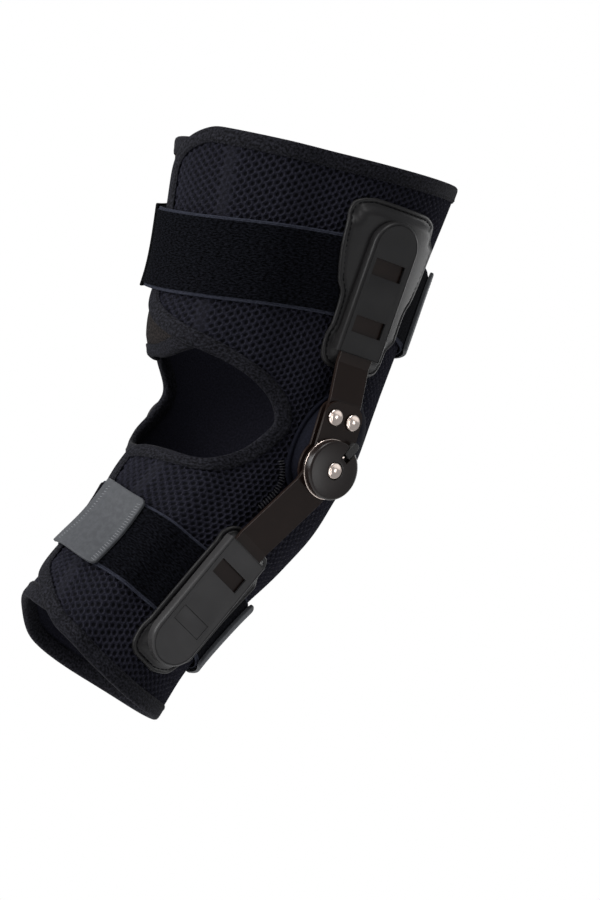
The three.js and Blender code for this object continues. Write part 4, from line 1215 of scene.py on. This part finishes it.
hinge_pieces = [
    (hinge_plate("inner_back_plate_cover", BACK_PLATE_OUT), "back_plate", "brown_metal", brown_metal),
    (hinge_plate("inner_front_plate_cover", FRONT_PLATE_OUT), "front_plate", "brown_metal", brown_metal),
    (hinge_disc("inner_disc_cover"), "hinge_disc", "gloss_disc", gloss_disc),
    (disc_ring("inner_disc_ring"), "", "nickel", nickel),
    (range_stop("inner_stop_bar"), "range_stop", "grey_stop", grey_stop),
    (stop_pin("inner_stop_pin"), "", "nickel", nickel),
    (cup_rivet("inner_pivot_cup", DISC_OUT + DISC + CLEARANCE), "pivot_rivet", "nickel", nickel),
    (
        cup_rivet("inner_back_cup", FRONT_PLATE_OUT + PLATE + CLEARANCE, -PLATE_RIVET_ACROSS, PLATE_RIVET_UP),
        "plate_rivet_back",
        "nickel",
        nickel,
    ),
    (
        cup_rivet("inner_front_cup", FRONT_PLATE_OUT + PLATE + CLEARANCE, PLATE_RIVET_ACROSS, PLATE_RIVET_UP),
        "plate_rivet_front",
        "nickel",
        nickel,
    ),
]
for piece, node, slot, material in hinge_pieces:
    nodes = [f"inner_{node}"] if node else []
    if node:
        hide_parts(*nodes)
    tidy_piece(piece, material, 30)
    copy = mirrored(piece, piece.name.replace("inner", "outer"), [n.replace("inner", "outer") for n in nodes])


# The seam behind each pad: an overcast row of thread on the mesh, beside the lower bar.

# along the leg, angle
PAD_SEAM = [(-7, -99.5), (-9.5, -97), (-12.5, -95), (-16, -93.2), (-22, -92.6), (-28.5, -93.6), (-37, -95.6)]
seam_place = np.array(PAD_SEAM)
seam_steps = np.linspace(0, len(PAD_SEAM) - 1, 60)
seam_along = np.interp(seam_steps, np.arange(len(PAD_SEAM)), seam_place[:, 0])
seam_angle = np.interp(seam_steps, np.arange(len(PAD_SEAM)), seam_place[:, 1])
seam_line = np.stack([arc_of(seam_along, seam_angle), seam_along], 1)
thread_dark = cloth_material("thread_dark", (0.03, 0.03, 0.034), (0.06, 0.06, 0.066), 2.0, bump=0.3)
pad_seam = thread(
    "inner_overcast_seam",
    stitches_across(seam_line, 3.4, 1.7, 0.3),
    lambda along, angle: SHEET + 0.2 + folds(along, angle),
    0.3,
)
tidy_piece(pad_seam, thread_dark, 60)
outer_seam = mirrored(pad_seam, "outer_overcast_seam", [])


# The bars: flat strips of brown anodised metal, 22 mm wide, that run from between the plates into the
# pockets. Their shape is the solid's own; only their edges are eased.

for side in ("inner", "outer"):
    for place in ("upper", "lower"):
        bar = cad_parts[f"{side}_{place}_bar"]
        for slot_index in range(len(bar.material_slots)):
            bar.material_slots[slot_index].material = brown_metal
        weld = bar.modifiers.new("weld", "WELD")
        weld.merge_threshold = 0.00001
        ease = bar.modifiers.new("ease", "BEVEL")
        ease.width = 0.35 * MM
        ease.segments = 2
        ease.limit_method = "ANGLE"
        ease.angle_limit = math.radians(30)


# The stand: a pale floor well below the brace, white surroundings and soft lights. The surroundings are
# seen white, and light the brace more dimly, as a big white room does round a person.

bpy.ops.object.select_all(action="DESELECT")
bpy.ops.mesh.primitive_plane_add(size=3.2, location=(0, 0, -0.75))
floor = bpy.context.object
floor.name = "floor"
bpy.ops.object.transform_apply(location=True, rotation=True, scale=True)
pale = bpy.data.materials.new("pale_floor")
pale.use_nodes = True
pale.node_tree.nodes["Principled BSDF"].inputs["Base Color"].default_value = (0.9, 0.9, 0.9, 1)
pale.node_tree.nodes["Principled BSDF"].inputs["Roughness"].default_value = 0.9
floor.data.materials.append(pale)

world = bpy.data.worlds.new("studio")
world.use_nodes = True
room = world.node_tree.nodes
seen = room["Background"]
seen.inputs["Color"].default_value = (1, 1, 1, 1)
fill = room.new("ShaderNodeBackground")
fill.inputs["Color"].default_value = (0.94, 0.96, 1, 1)
fill.inputs["Strength"].default_value = 0.33
ray = room.new("ShaderNodeLightPath")
either = room.new("ShaderNodeMixShader")
world.node_tree.links.new(ray.outputs["Is Camera Ray"], either.inputs[0])
world.node_tree.links.new(fill.outputs[0], either.inputs[1])
world.node_tree.links.new(seen.outputs[0], either.inputs[2])
world.node_tree.links.new(either.outputs[0], room["World Output"].inputs["Surface"])
bpy.context.scene.world = world
bpy.context.scene.view_settings.view_transform = "Standard"


def soft_light(name, place, power, size):
    """A square soft light that faces the brace."""
    lamp = bpy.data.lights.new(name, "AREA")
    lamp.energy = power
    lamp.size = size
    light = bpy.data.objects.new(name, lamp)
    light.location = place
    light.rotation_mode = "QUATERNION"
    light.rotation_quaternion = (-Vector(place)).to_track_quat("-Z", "Y")
    bpy.context.scene.collection.objects.link(light)


soft_light("left_light", (-1.55, 0.25, 0.45), 28, 1.1)
soft_light("top_light", (-0.5, -0.5, 1.7), 16, 0.9)
soft_light("right_light", (1.7, -0.1, 0.3), 9, 0.9)
soft_light("near_light", (0.65, -1.6, -0.1), 2.5, 0.5)
soft_light("far_light", (0.8, 1.6, 0.9), 14, 1.0)
soft_light("edge_light", (-1.08, 1.07, 0.22), 7, 0.7)


# The camera stands behind and inside of the leg, level with the knee, and is rolled so that the thigh
# leans as it does in the picture.

lens = bpy.data.cameras.new("camera")
lens.lens = 120.0
lens.sensor_width = 36.0
lens.clip_start = 0.05
lens.clip_end = 100
camera = bpy.data.objects.new("camera", lens)
right = Vector((0.77142, -0.58131, 0.25882))
up = Vector((-0.20670, 0.15576, 0.96593))
back = Vector((-0.60182, -0.79864, 0.0))
turn = Matrix((right, up, back)).transposed()
camera.rotation_mode = "QUATERNION"
camera.rotation_quaternion = turn.to_quaternion()
camera.location = (-0.9998, -1.3752, 0.0061)
bpy.context.scene.collection.objects.link(camera)
bpy.context.scene.camera = camera
